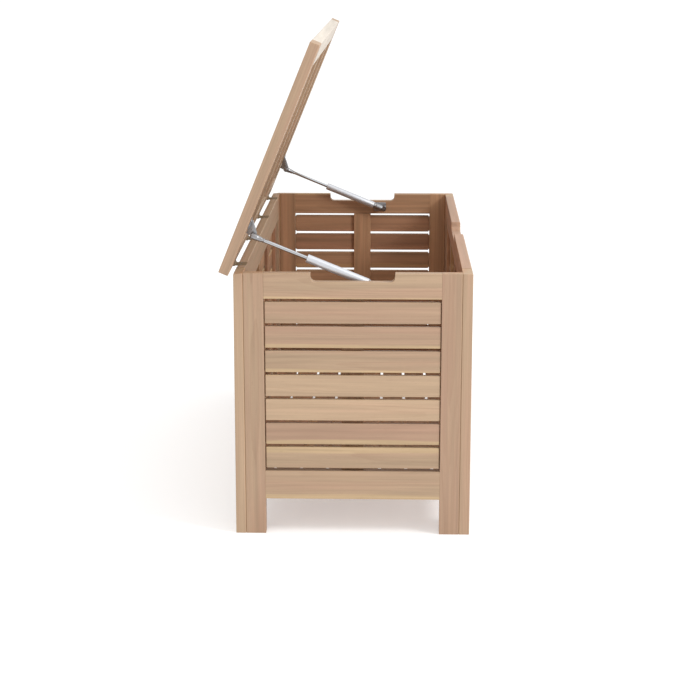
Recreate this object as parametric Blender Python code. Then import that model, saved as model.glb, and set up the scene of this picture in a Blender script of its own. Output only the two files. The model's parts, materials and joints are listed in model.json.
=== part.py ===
"""Deck storage box: a slatted hardwood chest with a hinged lid on two gas struts, shown with its lid open.

Metres, +Z up. X runs along the box, the front is -Y, and the legs stand on Z = 0.
The origin is under the middle of the whole object's box, lid open.
"""

import bmesh
import bpy
from math import atan2, cos, hypot, pi, radians, sin
from mathutils import Matrix, Vector

# ---------------------------------------------------------------- driving dimensions (metres)
LENGTH = 1.170            # outside of the end panels
DEPTH = 0.500             # outside of the front and back panels
HEIGHT = 0.568            # floor to the top of the rails
BOARD = 0.022             # thickness of legs and rails
GAP = 0.0003              # running gap between touching pieces

LEG_WIDTH = 0.0645        # a corner's width, seen from any side
RAIL_BOTTOM = 0.0778      # underside of the bottom rails
BOTTOM_RAIL = 0.0622      # height of the bottom rails
SIDE_TOP_RAIL = 0.062     # height of the front and back top rails
END_TOP_RAIL = 0.0540     # height of the end top rails
BACK_ROUND = 0.009        # rounding of the back panel's top edge
FRONT_ROUND = 0.003       # rounding of the front panel's top edge

SLATS = 7                 # slats in each panel
SLAT_GAP = 0.0065         # air gap above and below each slat
SLAT = 0.012              # slat thickness
SLAT_SET_BACK = 0.002     # slat face behind the frame's face
SHOULDER_GAP = 0.0022     # end of a slat to the leg
TONGUE = 0.008            # length of the tongues on slats and rails
TONGUE_THICK = 0.0054
TONGUE_EASE = 0.0025      # tongue lower than its board, above and below
GROOVE_TOP = 0.012        # groove stops below the leg's top
GLUED = 0.0005            # overlap of a batten and the slats glued to it

BATTEN_WIDTH = 0.046      # upright inside battens that the slats are fixed to
SIDE_BATTENS = (-0.390, -0.130, 0.130, 0.390)

HAND_CUTOUT = 0.176       # width of the hand cut-outs in the top rails
CUTOUT_DEPTH = 0.0185
CUTOUT_ROUND = 0.010

FLOOR_SLATS = 8
FLOOR_PITCH = 0.057
FLOOR_SLAT_WIDTH = 0.050
FLOOR_SLAT = 0.012
FLOOR_TOP = 0.120
BEARERS = (-0.535, -0.2675, 0.0, 0.2675, 0.535)
BEARER_WIDTH = 0.050
BEARER_HEIGHT = 0.024

LID_OPEN = radians(67.65)
LID_OVERHANG = 0.035      # lid past each end panel
LID_DEPTH = 0.503
LID_BACK = 0.2547         # back edge of the closed lid
LID = 0.021               # lid frame thickness
LID_LIFT = 0.0015         # closed lid above the rails
LID_RAIL = 0.050
LID_STILE = 0.088
LID_SLATS = 7
LID_SLAT_SET_BACK = 0.001
LID_BATTENS = (-0.205, 0.205)
LID_BATTEN_WIDTH = 0.045

HINGES = (-0.477, -0.159, 0.159, 0.477)
HINGE_LENGTH = 0.035
KNUCKLES = 5
KNUCKLE_GAP = 0.0006
HINGE_Y = 0.2540          # pin axis
HINGE_Z = HEIGHT + 0.0005
BARREL = 0.0032           # outside radius
BARREL_BORE = 0.00160
PIN = 0.00125
LEAF = 0.0014             # leaf thickness
LEAF_FRONT = 0.2286       # leaf edge away from the pin
LEAF_SPLIT = 0.0006       # between the closed leaves
LEAF_SCREWS = (-0.009, 0.009)
LEAF_SCREW_Y = 0.2395

STRUT_INSET = 0.020       # strut's centre plane inside the end panel
STRUT_LOW = (-0.0485, HEIGHT - 0.0345)       # pivot on the box, as (y, z)
STRUT_HIGH = (0.2080, HEIGHT + 0.0700)       # ball on the open lid, as (y, z)
TUBE = 0.009
TUBE_BORE = 0.0078
TUBE_START = 0.016
TUBE_END = 0.1563
GLAND = 0.008             # length of the rod's guide in the tube's mouth
ROD = 0.004
ROD_HOLE = 0.0044
PISTON = 0.0074
EYE = 0.0085
EYE_HALF = 0.0055
STUD = 0.0040
ROD_END = 0.0062
PLATE = 0.002
PLATE_HALF = 0.0170
PLATE_SCREWS = (-0.0128, 0.0128)

# ---------------------------------------------------------------- derived sizes
HALF_L = LENGTH / 2
HALF_D = DEPTH / 2
IN_L = HALF_L - BOARD                     # inner face of the end panels
IN_D = HALF_D - BOARD                     # inner face of the front and back panels
PANEL_LOW = RAIL_BOTTOM + BOTTOM_RAIL
BATTEN = BOARD - SLAT_SET_BACK - SLAT
LID_LOW = HEIGHT + LID_LIFT
LID_HALF_L = HALF_L + LID_OVERHANG
LID_FRONT = LID_BACK - LID_DEPTH
LEAF_TOP = HINGE_Z - LEAF_SPLIT / 2
STRUT_X = IN_L - STRUT_INSET
STRUT_LENGTH = hypot(STRUT_HIGH[0] - STRUT_LOW[0], STRUT_HIGH[1] - STRUT_LOW[1])
STRUT_ANGLE = atan2(STRUT_HIGH[1] - STRUT_LOW[1], STRUT_HIGH[0] - STRUT_LOW[0])
LID_TAIL = HINGE_Y + (LID_BACK - HINGE_Y) * cos(LID_OPEN) + (LID_LOW + LID - HINGE_Z) * sin(LID_OPEN)
CENTRE_Y = -(LID_TAIL - HALF_D) / 2       # brings the whole object's box over the origin

OAK = (0.52, 0.36, 0.22)
PALE = (0.60, 0.45, 0.29)
ROSE = (0.46, 0.28, 0.18)
STEEL = (0.62, 0.62, 0.63)


# ---------------------------------------------------------------- scene helpers
def clear_scene():
    for old in list(bpy.data.objects):
        bpy.data.objects.remove(old, do_unlink=True)


def empty(name, location, turn=0.0, parent=None):
    """An empty that carries pieces: turn is about X."""
    axis = bpy.data.objects.new(name, None)
    axis.location = location
    axis.rotation_euler = (turn, 0.0, 0.0)
    axis.parent = parent
    bpy.context.scene.collection.objects.link(axis)
    return axis


def material(name, colour, roughness, metallic):
    finish = bpy.data.materials.new(name)
    finish.use_nodes = True
    shader = finish.node_tree.nodes["Principled BSDF"]
    shader.inputs["Base Color"].default_value = (*colour, 1.0)
    shader.inputs["Roughness"].default_value = roughness
    shader.inputs["Metallic"].default_value = metallic
    return finish


def add_object(name, mesh_maker, parent):
    """Makes a named object from a bmesh and hangs it on its parent empty."""
    bmesh.ops.recalc_face_normals(mesh_maker, faces=mesh_maker.faces)
    mesh = bpy.data.meshes.new(name)
    mesh_maker.to_mesh(mesh)
    mesh_maker.free()
    piece = bpy.data.objects.new(name, mesh)
    piece.parent = parent
    bpy.context.scene.collection.objects.link(piece)
    return piece


def wood(name, mesh_maker, parent, colour=OAK):
    piece = add_object(name, mesh_maker, parent)
    piece.data.materials.append(material(name + "_finish", colour, 0.62, 0.0))
    return piece


def steel(name, mesh_maker, parent, roughness=0.3):
    piece = add_object(name, mesh_maker, parent)
    piece.data.materials.append(material(name + "_finish", STEEL, roughness, 1.0))
    piece.data.shade_smooth()
    piece.data.set_sharp_from_angle(angle=radians(35))
    return piece


def boolean(piece, mesh_maker, operation):
    """Adds a Boolean modifier whose tool is a hidden wire object beside the piece."""
    number = len(piece.modifiers) + 1
    tool = add_object(f"cutter_{piece.name}_{number}", mesh_maker, piece.parent)
    tool.hide_render = True
    tool.display_type = "WIRE"
    step = piece.modifiers.new(operation.lower(), "BOOLEAN")
    step.operation = operation
    step.object = tool
    step.solver = "EXACT"


# ---------------------------------------------------------------- mesh helpers
def block(low, high, maker=None):
    """A box between two corners, added to a bmesh."""
    maker = maker or bmesh.new()
    low, high = Vector(low), Vector(high)
    place = Matrix.Translation((low + high) / 2) @ Matrix.Diagonal((*(high - low), 1.0))
    bmesh.ops.create_cube(maker, size=1.0, matrix=place)
    return maker


def prism(outline, axis, start, end, maker=None):
    """An outline in the two other axes (in X, Y, Z order), carried from start to end along an axis."""
    maker = maker or bmesh.new()
    across = [i for i in range(3) if i != axis]

    def ring(height):
        corners = []
        for a, b in outline:
            point = [0.0, 0.0, 0.0]
            point[axis], point[across[0]], point[across[1]] = height, a, b
            corners.append(maker.verts.new(point))
        return corners

    first, last = ring(start), ring(end)
    count = len(outline)
    maker.faces.new(first)
    maker.faces.new(last[::-1])
    for i in range(count):
        j = (i + 1) % count
        maker.faces.new((first[i], last[i], last[j], first[j]))
    return maker


def turned(profile, axis, centre, sides=16, maker=None):
    """A profile of (distance along the axis, radius) turned round an axis through centre.
    It is closed where a radius is 0, and otherwise the profile is itself a closed ring."""
    maker = maker or bmesh.new()
    across = [i for i in range(3) if i != axis]
    rings = []
    for along, radius in profile:
        steps = sides if radius > 0 else 1
        ring = []
        for i in range(steps):
            point = list(centre)
            point[axis] += along
            point[across[0]] += radius * cos(2 * pi * i / sides)
            point[across[1]] += radius * sin(2 * pi * i / sides)
            ring.append(maker.verts.new(point))
        rings.append(ring)
    closed = profile[0][1] > 0
    pairs = list(zip(rings, rings[1:]))
    if closed:
        pairs.append((rings[-1], rings[0]))
    for low, high in pairs:
        for i in range(sides):
            j = (i + 1) % sides
            corners = [low[i % len(low)], low[j % len(low)], high[j % len(high)], high[i % len(high)]]
            maker.faces.new(list(dict.fromkeys(corners)))
    return maker


def tongued(size, centre, length_axis, tongue_low, tongue_high, offset=0.0, maker=None):
    """A board with a tongue on each end. size is (length, thickness, height) without the tongues,
    tongue_low and tongue_high are heights, and offset moves the tongue across the thickness."""
    maker = maker or bmesh.new()
    length, thick, high = size
    across = 1 - length_axis

    def corner(along, side, z):
        point = [0.0, 0.0, z]
        point[length_axis] = centre[length_axis] + along
        point[across] = centre[across] + side
        return maker.verts.new(point)

    def ring(along, half, low, top, shift=0.0):
        return [corner(along, shift - half, low), corner(along, shift + half, low),
                corner(along, shift + half, top), corner(along, shift - half, top)]

    base, top = centre[2] - high / 2, centre[2] + high / 2
    half_tongue = TONGUE_THICK / 2
    rings = [ring(-length / 2 - TONGUE, half_tongue, tongue_low, tongue_high, offset),
             ring(-length / 2, half_tongue, tongue_low, tongue_high, offset),
             ring(-length / 2, thick / 2, base, top),
             ring(length / 2, thick / 2, base, top),
             ring(length / 2, half_tongue, tongue_low, tongue_high, offset),
             ring(length / 2 + TONGUE, half_tongue, tongue_low, tongue_high, offset)]
    maker.faces.new(rings[0])
    maker.faces.new(rings[-1][::-1])
    for low_ring, high_ring in zip(rings, rings[1:]):
        for i in range(4):
            j = (i + 1) % 4
            maker.faces.new((low_ring[i], low_ring[j], high_ring[j], high_ring[i]))
    return maker


def round_edge(maker, radius, chosen):
    """Rounds the edges whose two ends both pass a test."""
    edges = [e for e in maker.edges if all(chosen(v.co) for v in e.verts)]
    bmesh.ops.bevel(maker, geom=edges, offset=radius, segments=4, affect="EDGES", profile=0.5)


# ---------------------------------------------------------------- panels
def slat_heights(top_rail, low=PANEL_LOW):
    """Middle height of each panel slat from the bottom, and the height of one slat."""
    high = (HEIGHT - top_rail - low - (SLATS + 1) * SLAT_GAP) / SLATS
    return [low + SLAT_GAP + high / 2 + i * (high + SLAT_GAP) for i in range(SLATS)], high


SIDE_SLAT = slat_heights(SIDE_TOP_RAIL)[1]
RIGHT_PANEL_LOW = HEIGHT - END_TOP_RAIL - SLATS * SIDE_SLAT - (SLATS + 1) * SLAT_GAP   # same slats as the sides


def slat(length, across, length_axis, z, high, shift, maker=None):
    """One slat of a panel: across is where its middle plane stands, shift takes its tongue to the leg's middle."""
    centre = [0.0, 0.0, z]
    centre[1 - length_axis] = across
    size = (length - 2 * SHOULDER_GAP, SLAT, high)
    low, top = z - high / 2 + TONGUE_EASE, z + high / 2 - TONGUE_EASE
    return tongued(size, centre, length_axis, low, top, shift, maker)


def leg(name, low, high, root, groove, radius=0.0, outer=0.0):
    """A leg from corner to corner, with its top outer edge rounded and a groove cut up its inner side."""
    maker = block(low, high)
    if radius:
        round_edge(maker, radius, lambda co: abs(co.z - HEIGHT) < 1e-5 and abs(co.y - outer) < 1e-5)
    post = wood(name, maker, root)
    boolean(post, groove, "DIFFERENCE")


def span(a, b):
    return (min(a, b), max(a, b))


def side_panel(name, side, root):
    """Front (side -1) or back (side 1) panel: two legs, two rails, and seven slats glued to four battens."""
    outer, inner = side * HALF_D, side * IN_D
    mid = (outer + inner) / 2
    slat_mid = side * (HALF_D - SLAT_SET_BACK - SLAT / 2)
    radius = BACK_ROUND if side > 0 else FRONT_ROUND
    clear_length = LENGTH - 2 * LEG_WIDTH
    y = span(outer, inner)
    half = TONGUE_THICK / 2 + GAP

    for word, end in (("left", -1), ("right", 1)):
        x_in = end * (HALF_L - LEG_WIDTH)
        x = span(end * HALF_L, x_in)
        cut = span(x_in - end * 0.01, x_in + end * (TONGUE + GAP))
        groove = block((cut[0], mid - half, RAIL_BOTTOM + 0.004), (cut[1], mid + half, HEIGHT - GROOVE_TOP + GAP))
        leg(f"{name}_{word}_leg", (x[0], y[0], 0.0), (x[1], y[1], HEIGHT), root, groove, radius, outer)

    size = (clear_length - 2 * GAP, BOARD, SIDE_TOP_RAIL)
    low, high = HEIGHT - SIDE_TOP_RAIL + TONGUE_EASE, HEIGHT - GROOVE_TOP
    maker = tongued(size, (0.0, mid, HEIGHT - SIDE_TOP_RAIL / 2), 0, low, high)
    round_edge(maker, radius, lambda co: abs(co.z - HEIGHT) < 1e-5 and abs(co.y - outer) < 1e-5)
    top = wood(f"{name}_top_rail", maker, root)
    size = (clear_length - 2 * GAP, BOARD, BOTTOM_RAIL)
    low, high = RAIL_BOTTOM + 2 * TONGUE_EASE, PANEL_LOW - TONGUE_EASE
    maker = tongued(size, (0.0, mid, RAIL_BOTTOM + BOTTOM_RAIL / 2), 0, low, high)
    wood(f"{name}_bottom_rail", maker, root)

    maker = bmesh.new()
    middles, high = slat_heights(SIDE_TOP_RAIL)
    for z in middles:
        slat(clear_length, slat_mid, 0, z, high, mid - slat_mid, maker)
    slats = wood(f"{name}_slats", maker, root, PALE)
    maker = bmesh.new()
    across = span(inner, side * (IN_D + BATTEN + GLUED))
    for x in SIDE_BATTENS:
        block((x - BATTEN_WIDTH / 2, across[0], PANEL_LOW + GAP),
              (x + BATTEN_WIDTH / 2, across[1], HEIGHT - SIDE_TOP_RAIL - GAP), maker)
    boolean(slats, maker, "UNION")
    return top


def end_panel(name, end, root, panel_low, apart):
    """Left (end -1) or right (end 1) panel, between the front and back panels, slatted above panel_low.
    Its slats and batten are pieces of their own where apart is set, and one glued piece where it isn't."""
    outer, inner = end * HALF_L, end * IN_L
    mid = (outer + inner) / 2
    slat_mid = end * (HALF_L - SLAT_SET_BACK - SLAT / 2)
    half_clear = IN_D - (LEG_WIDTH - BOARD)
    x = span(outer, inner)
    half = TONGUE_THICK / 2 + GAP

    for word, side in (("front", -1), ("back", 1)):
        y_in = side * half_clear
        y = span(side * (IN_D - GAP), y_in)
        cut = span(y_in - side * 0.01, y_in + side * (TONGUE + GAP))
        groove = block((mid - half, cut[0], RAIL_BOTTOM + 0.004), (mid + half, cut[1], HEIGHT - GROOVE_TOP + GAP))
        leg(f"{name}_{word}_leg", (x[0], y[0], 0.0), (x[1], y[1], HEIGHT), root, groove)

    length = 2 * half_clear
    low, high = HEIGHT - END_TOP_RAIL + TONGUE_EASE, HEIGHT - GROOVE_TOP
    maker = tongued((length - 2 * GAP, BOARD, END_TOP_RAIL), (mid, 0.0, HEIGHT - END_TOP_RAIL / 2), 1, low, high)
    top = wood(f"{name}_top_rail", maker, root)
    boolean(top, hand_cutout(0, mid), "DIFFERENCE")
    low, high = RAIL_BOTTOM + 2 * TONGUE_EASE, panel_low - TONGUE_EASE
    size = (length - 2 * GAP, BOARD, panel_low - RAIL_BOTTOM)
    maker = tongued(size, (mid, 0.0, (RAIL_BOTTOM + panel_low) / 2), 1, low, high)
    wood(f"{name}_bottom_rail", maker, root)

    middles, high = slat_heights(END_TOP_RAIL, panel_low)
    across = span(inner, end * (IN_L + BATTEN + (-GAP if apart else GLUED)))
    batten = block((across[0], -BATTEN_WIDTH / 2, panel_low + GAP),
                   (across[1], BATTEN_WIDTH / 2, HEIGHT - END_TOP_RAIL - GAP))
    if apart:
        for number, z in enumerate(middles, 1):
            maker = slat(length, slat_mid, 1, z, high, mid - slat_mid)
            wood(f"{name}_slat_{number}", maker, root, PALE)
        wood(f"{name}_batten", batten, root, ROSE)
        return
    maker = bmesh.new()
    for z in middles:
        slat(length, slat_mid, 1, z, high, mid - slat_mid, maker)
    boolean(wood(f"{name}_slats", maker, root, PALE), batten, "UNION")


def hand_cutout(across_axis, middle):
    """A cutter with rounded lower corners, which runs along across_axis right through the board at middle."""
    half, floor, top = HAND_CUTOUT / 2, HEIGHT - CUTOUT_DEPTH, HEIGHT + 0.01
    outline = [(half, top), (-half, top)]
    for turn, x in ((pi, -half + CUTOUT_ROUND), (1.5 * pi, half - CUTOUT_ROUND)):
        for step in range(5):
            angle = turn + step * pi / 8
            outline.append((x + CUTOUT_ROUND * cos(angle), floor + CUTOUT_ROUND * (1 + sin(angle))))
    return prism(outline, across_axis, middle - BOARD, middle + BOARD)


# ---------------------------------------------------------------- floor
def box_floor(root):
    """Slats with gaps between them, glued to cross bearers."""
    maker = bmesh.new()
    for i in range(FLOOR_SLATS):
        y = (i - (FLOOR_SLATS - 1) / 2) * FLOOR_PITCH
        block((-IN_L + 0.001, y - FLOOR_SLAT_WIDTH / 2, FLOOR_TOP - FLOOR_SLAT),
              (IN_L - 0.001, y + FLOOR_SLAT_WIDTH / 2, FLOOR_TOP), maker)
    slats = wood("floor_slats", maker, root, OAK)
    maker = bmesh.new()
    top = FLOOR_TOP - FLOOR_SLAT + GLUED
    for x in BEARERS:
        block((x - BEARER_WIDTH / 2, -IN_D + GAP, top - BEARER_HEIGHT),
              (x + BEARER_WIDTH / 2, IN_D - GAP, top), maker)
    boolean(slats, maker, "UNION")


# ---------------------------------------------------------------- lid
def build_lid(axis, shift):
    """The lid is drawn closed, then moved so that its parent empty on the hinge pin turns it open."""
    low, high = LID_LOW, LID_LOW + LID
    inner_front, inner_back = LID_FRONT + LID_RAIL, LID_BACK - LID_RAIL
    inner_x = LID_HALF_L - LID_STILE

    def lid_wood(name, maker, colour=OAK):
        bmesh.ops.translate(maker, verts=maker.verts, vec=shift)
        return wood(name, maker, axis, colour)

    for word, end in (("left", -1), ("right", 1)):
        a, b = sorted((end * LID_HALF_L, end * inner_x))
        lid_wood(f"lid_{word}_stile", block((a, LID_FRONT, low), (b, LID_BACK, high)))
    front = block((-inner_x + GAP, LID_FRONT, low), (inner_x - GAP, inner_front, high))
    lid_wood("lid_front_rail", front, PALE)
    back = lid_wood("lid_back_rail", block((-inner_x + GAP, inner_back, low), (inner_x - GAP, LID_BACK, high)))

    field = inner_back - inner_front
    width = (field - (LID_SLATS + 1) * SLAT_GAP) / LID_SLATS
    slat_top = high - LID_SLAT_SET_BACK
    half = inner_x - SHOULDER_GAP
    maker = bmesh.new()
    for i in range(LID_SLATS):
        y = inner_front + SLAT_GAP + i * (width + SLAT_GAP)
        block((-half, y, slat_top - SLAT), (half, y + width, slat_top), maker)
    slats = lid_wood("lid_slats", maker, PALE)
    maker = bmesh.new()
    for x in LID_BATTENS:
        block((x - LID_BATTEN_WIDTH / 2, inner_front + GAP, low),
              (x + LID_BATTEN_WIDTH / 2, inner_back - GAP, slat_top - SLAT + GLUED), maker)
    bmesh.ops.translate(maker, verts=maker.verts, vec=shift)
    boolean(slats, maker, "UNION")
    return back


# ---------------------------------------------------------------- hinges
def knuckle_spans(on_lid):
    """X spans of one leaf's knuckles, from the hinge's middle. The box leaf has the outer ones."""
    step = HINGE_LENGTH / KNUCKLES
    spans = []
    for i in range(KNUCKLES):
        if (i % 2 == 1) == on_lid:
            start = -HINGE_LENGTH / 2 + i * step
            spans.append((start + KNUCKLE_GAP / 2, start + step - KNUCKLE_GAP / 2))
    return spans


def screw_holes(x, on_lid):
    """Countersunk holes through a leaf, wide at the face that shows when the lid is open."""
    maker = bmesh.new()
    face = LEAF_TOP + LEAF_SPLIT if on_lid else LEAF_TOP
    down = 1 if on_lid else -1
    for dx in LEAF_SCREWS:
        profile = [(-down * 0.0002, 0.0), (-down * 0.0002, 0.0030), (down * 0.0011, 0.0016),
                   (down * 0.004, 0.0016), (down * 0.004, 0.0)]
        turned(profile, 2, (x + dx, LEAF_SCREW_Y, face), 12, maker)
    return maker


def hinge_leaf(name, x, on_lid, parent, shift):
    """A leaf is a plate with tabs that run into its knuckles, in a comb outline."""
    low = LEAF_TOP + LEAF_SPLIT if on_lid else LEAF_TOP - LEAF
    clear_edge = HINGE_Y - BARREL - 0.0004
    tab_edge = HINGE_Y - BARREL_BORE - 0.0005
    outline = [(x + HINGE_LENGTH / 2, clear_edge), (x + HINGE_LENGTH / 2, LEAF_FRONT),
               (x - HINGE_LENGTH / 2, LEAF_FRONT), (x - HINGE_LENGTH / 2, clear_edge)]
    for start, end in knuckle_spans(on_lid):
        outline += [(x + start, clear_edge), (x + start, tab_edge), (x + end, tab_edge), (x + end, clear_edge)]
    tidy = [p for i, p in enumerate(outline) if p != outline[i - 1]]
    plate = prism(tidy, 2, low, low + LEAF)
    bmesh.ops.translate(plate, verts=plate.verts, vec=shift)
    leaf = steel(name, plate, parent)
    tubes = bmesh.new()
    for start, end in knuckle_spans(on_lid):
        ring = [(start, BARREL_BORE), (start, BARREL), (end, BARREL), (end, BARREL_BORE)]
        turned(ring, 0, (x, HINGE_Y, HINGE_Z), 16, tubes)
    bmesh.ops.translate(tubes, verts=tubes.verts, vec=shift)
    boolean(leaf, tubes, "UNION")
    cut = screw_holes(x, on_lid)
    bmesh.ops.translate(cut, verts=cut.verts, vec=shift)
    boolean(leaf, cut, "DIFFERENCE")


def hinges(root, axis, shift, top_rail, lid_rail):
    """Four butt hinges let into the back top rail and the lid's back rail."""
    still = Vector((0.0, 0.0, 0.0))
    rail_cut, lid_cut, pockets = bmesh.new(), bmesh.new(), bmesh.new()
    reach = HINGE_LENGTH / 2 + 0.0005
    leaf_low, leaf_high = LEAF_TOP - LEAF - GAP, LEAF_TOP + LEAF_SPLIT + LEAF + GAP
    for number, x in enumerate(HINGES, 1):
        hinge_leaf(f"hinge_box_leaf_{number}", x, False, root, still)
        hinge_leaf(f"hinge_lid_leaf_{number}", x, True, axis, shift)
        half = HINGE_LENGTH / 2 - 0.0002
        maker = turned([(-half, 0.0), (-half, PIN), (half, PIN), (half, 0.0)], 0, (x, HINGE_Y, HINGE_Z), 12)
        steel(f"hinge_pin_{number}", maker, root)
        block((x - reach, IN_D - 0.005, leaf_low), (x + reach, 0.26, HEIGHT + 0.01), rail_cut)
        block((x - reach, LEAF_FRONT - 0.0005, LID_LOW - 0.01), (x + reach, 0.26, leaf_high), lid_cut)
        block((x - reach, HINGE_Y - BARREL - 0.0014, LID_LOW - 0.0095),
              (x + reach, 0.27, HINGE_Z + BARREL + 0.0006), pockets)
    for maker in (lid_cut, pockets):
        bmesh.ops.translate(maker, verts=maker.verts, vec=shift)
    boolean(top_rail, rail_cut, "DIFFERENCE")
    boolean(lid_rail, lid_cut, "DIFFERENCE")
    boolean(lid_rail, pockets, "DIFFERENCE")


# ---------------------------------------------------------------- gas struts
def strut(word, end, root):
    """Tube and rod along the local +Y of an empty on the lower pivot."""
    x = end * STRUT_X
    pivot = empty(f"{word}_strut_axis", (x, *STRUT_LOW), STRUT_ANGLE, root)
    eye = [(-EYE_HALF, STUD + GAP), (-EYE_HALF, EYE), (EYE_HALF, EYE), (EYE_HALF, STUD + GAP)]
    tube = steel(f"{word}_strut_tube", turned(eye, 0, (0.0, 0.0, 0.0), 20), pivot, 0.22)
    neck_start = EYE - 0.0015
    body = [(neck_start, 0.0), (neck_start, 0.0041), (TUBE_START, 0.0055), (TUBE_START, TUBE - 0.001),
            (TUBE_START + 0.001, TUBE), (TUBE_END - 0.0008, TUBE), (TUBE_END, TUBE - 0.0006),
            (TUBE_END, TUBE_BORE), (TUBE_START + 0.004, TUBE_BORE), (TUBE_START + 0.004, 0.0)]
    boolean(tube, turned(body, 1, (0.0, 0.0, 0.0), 24), "UNION")

    gland_start, gland_end = TUBE_END - GLAND - 0.001, TUBE_END - 0.001
    ring = [(gland_start, ROD_HOLE), (gland_start, TUBE_BORE - GAP), (gland_end, TUBE_BORE - GAP),
            (gland_end, ROD_HOLE)]
    steel(f"{word}_strut_gland", turned(ring, 1, (0.0, 0.0, 0.0), 24), pivot, 0.5)

    piston_end = gland_start - 0.002
    rod_end = STRUT_LENGTH - 0.020
    profile = [(piston_end - 0.007, 0.0), (piston_end - 0.007, PISTON), (piston_end, PISTON),
               (piston_end, ROD), (rod_end, ROD), (rod_end, 0.0)]
    steel(f"{word}_strut_rod", turned(profile, 1, (0.0, 0.0, 0.0), 24), pivot, 0.12)

    inward = -end
    ball = [(-end * EYE_HALF, 0.0), (-end * EYE_HALF, ROD_END), (end * EYE_HALF, ROD_END), (end * EYE_HALF, 0.0)]
    maker = turned(ball, 0, (0.0, STRUT_LENGTH, 0.0), 16)
    socket = steel(f"{word}_strut_rod_end", maker, pivot, 0.35)
    neck = [(rod_end + GAP, 0.0), (rod_end + GAP, 0.0050), (STRUT_LENGTH - 0.004, 0.0042), (STRUT_LENGTH - 0.004, 0.0)]
    boolean(socket, turned(neck, 1, (0.0, 0.0, 0.0), 16), "UNION")
    stub = [(inward * (EYE_HALF - 0.001), 0.0), (inward * (EYE_HALF - 0.001), 0.003),
            (inward * (EYE_HALF + 0.0027), 0.003), (inward * (EYE_HALF + 0.0027), 0.0)]
    boolean(socket, turned(stub, 0, (0.0, STRUT_LENGTH, 0.0), 12), "UNION")


def box_bracket(word, end, root):
    """A plate on the end panel's top rail with the stud that the strut's lower eye turns on."""
    y, z = STRUT_LOW
    face = end * (IN_L - GAP)
    a, b = span(face, face - end * PLATE)
    plate = steel(f"{word}_box_bracket", block((a, y - PLATE_HALF, z - 0.012), (b, y + PLATE_HALF, z + 0.012)), root)
    start = face - end * 0.001
    near, far = end * (STRUT_X + EYE_HALF), end * (STRUT_X - EYE_HALF)
    stud = [(start, 0.0), (start, 0.0062), (near + end * 0.0006, 0.0062), (near + end * 0.0006, STUD),
            (far - end * GAP, STUD), (far - end * GAP, 0.0052), (far - end * 0.0022, 0.0046),
            (far - end * 0.0022, 0.0)]
    boolean(plate, turned(stud, 0, (0.0, y, z), 20), "UNION")
    holes = bmesh.new()
    for dy in PLATE_SCREWS:
        profile = [(face + end * 0.001, 0.0), (face + end * 0.001, 0.0019), (face - end * 0.004, 0.0019),
                   (face - end * 0.004, 0.0)]
        turned(profile, 0, (0.0, y + dy, z), 12, holes)
    boolean(plate, holes, "DIFFERENCE")


def lid_ball():
    """Where the strut meets the closed lid, as (y, z)."""
    dy, dz = STRUT_HIGH[0] - HINGE_Y, STRUT_HIGH[1] - HINGE_Z
    return (HINGE_Y + dy * cos(LID_OPEN) - dz * sin(LID_OPEN), HINGE_Z + dy * sin(LID_OPEN) + dz * cos(LID_OPEN))


def lid_bracket(word, end, axis, shift):
    """An angle: its foot is screwed to the lid's stile, and its cheek stands beside the rod's end."""
    y, z = lid_ball()
    foot_high = LID_LOW - GAP
    cheek_face = end * (STRUT_X - EYE_HALF - 0.0030)
    cheek = span(cheek_face, cheek_face - end * PLATE)
    foot = span(cheek_face - end * PLATE, end * (STRUT_X + 0.0115))
    maker = block((foot[0], y - 0.035, foot_high - 0.0015), (foot[1], y - 0.012, foot_high))
    bmesh.ops.translate(maker, verts=maker.verts, vec=shift)
    bracket = steel(f"{word}_lid_bracket", maker, axis)
    outline = [(y - 0.0345, foot_high - 0.0004), (y - 0.0345, foot_high - 0.004), (y - 0.008, z - 0.0055)]
    outline += [(y + 0.006 * cos(pi * k / 8), z + 0.006 * sin(pi * k / 8)) for k in range(-5, 5)]
    outline += [(y - 0.002, foot_high - 0.0004)]
    maker = prism(outline, 0, cheek[0] + 0.0001, cheek[1] - 0.0001)
    bmesh.ops.translate(maker, verts=maker.verts, vec=shift)
    boolean(bracket, maker, "UNION")


def gas_struts(root, axis, shift):
    for word, end in (("left", -1), ("right", 1)):
        strut(word, end, root)
        box_bracket(word, end, root)
        lid_bracket(word, end, axis, shift)


# ---------------------------------------------------------------- assembly
def main():
    clear_scene()
    root = empty("assembly", (0.0, CENTRE_Y, 0.0))
    axis = empty("lid_axis", (0.0, HINGE_Y, HINGE_Z), -LID_OPEN, root)
    shift = Vector((0.0, -HINGE_Y, -HINGE_Z))
    front_rail = side_panel("front", -1, root)
    boolean(front_rail, hand_cutout(1, -(HALF_D + IN_D) / 2), "DIFFERENCE")
    back_rail = side_panel("back", 1, root)
    end_panel("left_end", -1, root, PANEL_LOW, True)
    end_panel("right_end", 1, root, RIGHT_PANEL_LOW, False)
    box_floor(root)
    lid_back = build_lid(axis, shift)
    hinges(root, axis, shift, back_rail, lid_back)
    gas_struts(root, axis, shift)


main()
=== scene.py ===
"""Deck storage box: the looks of a slatted hardwood chest whose hinged lid is held open by two gas struts.

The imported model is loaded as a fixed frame. Every board is then built again with eased edges and solid wood
grain, and every fitting with its finish, and each new piece rides on the body that its frame piece belongs to.
Metres, +Z up. X runs along the box, the front is -Y, and the lid hinges along the back.
"""

import json
from math import atan2, pi, radians

import bpy
import numpy as np
from bpy.props import FloatProperty, FloatVectorProperty, IntProperty, PointerProperty
from mathutils import Matrix, Vector


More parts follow.
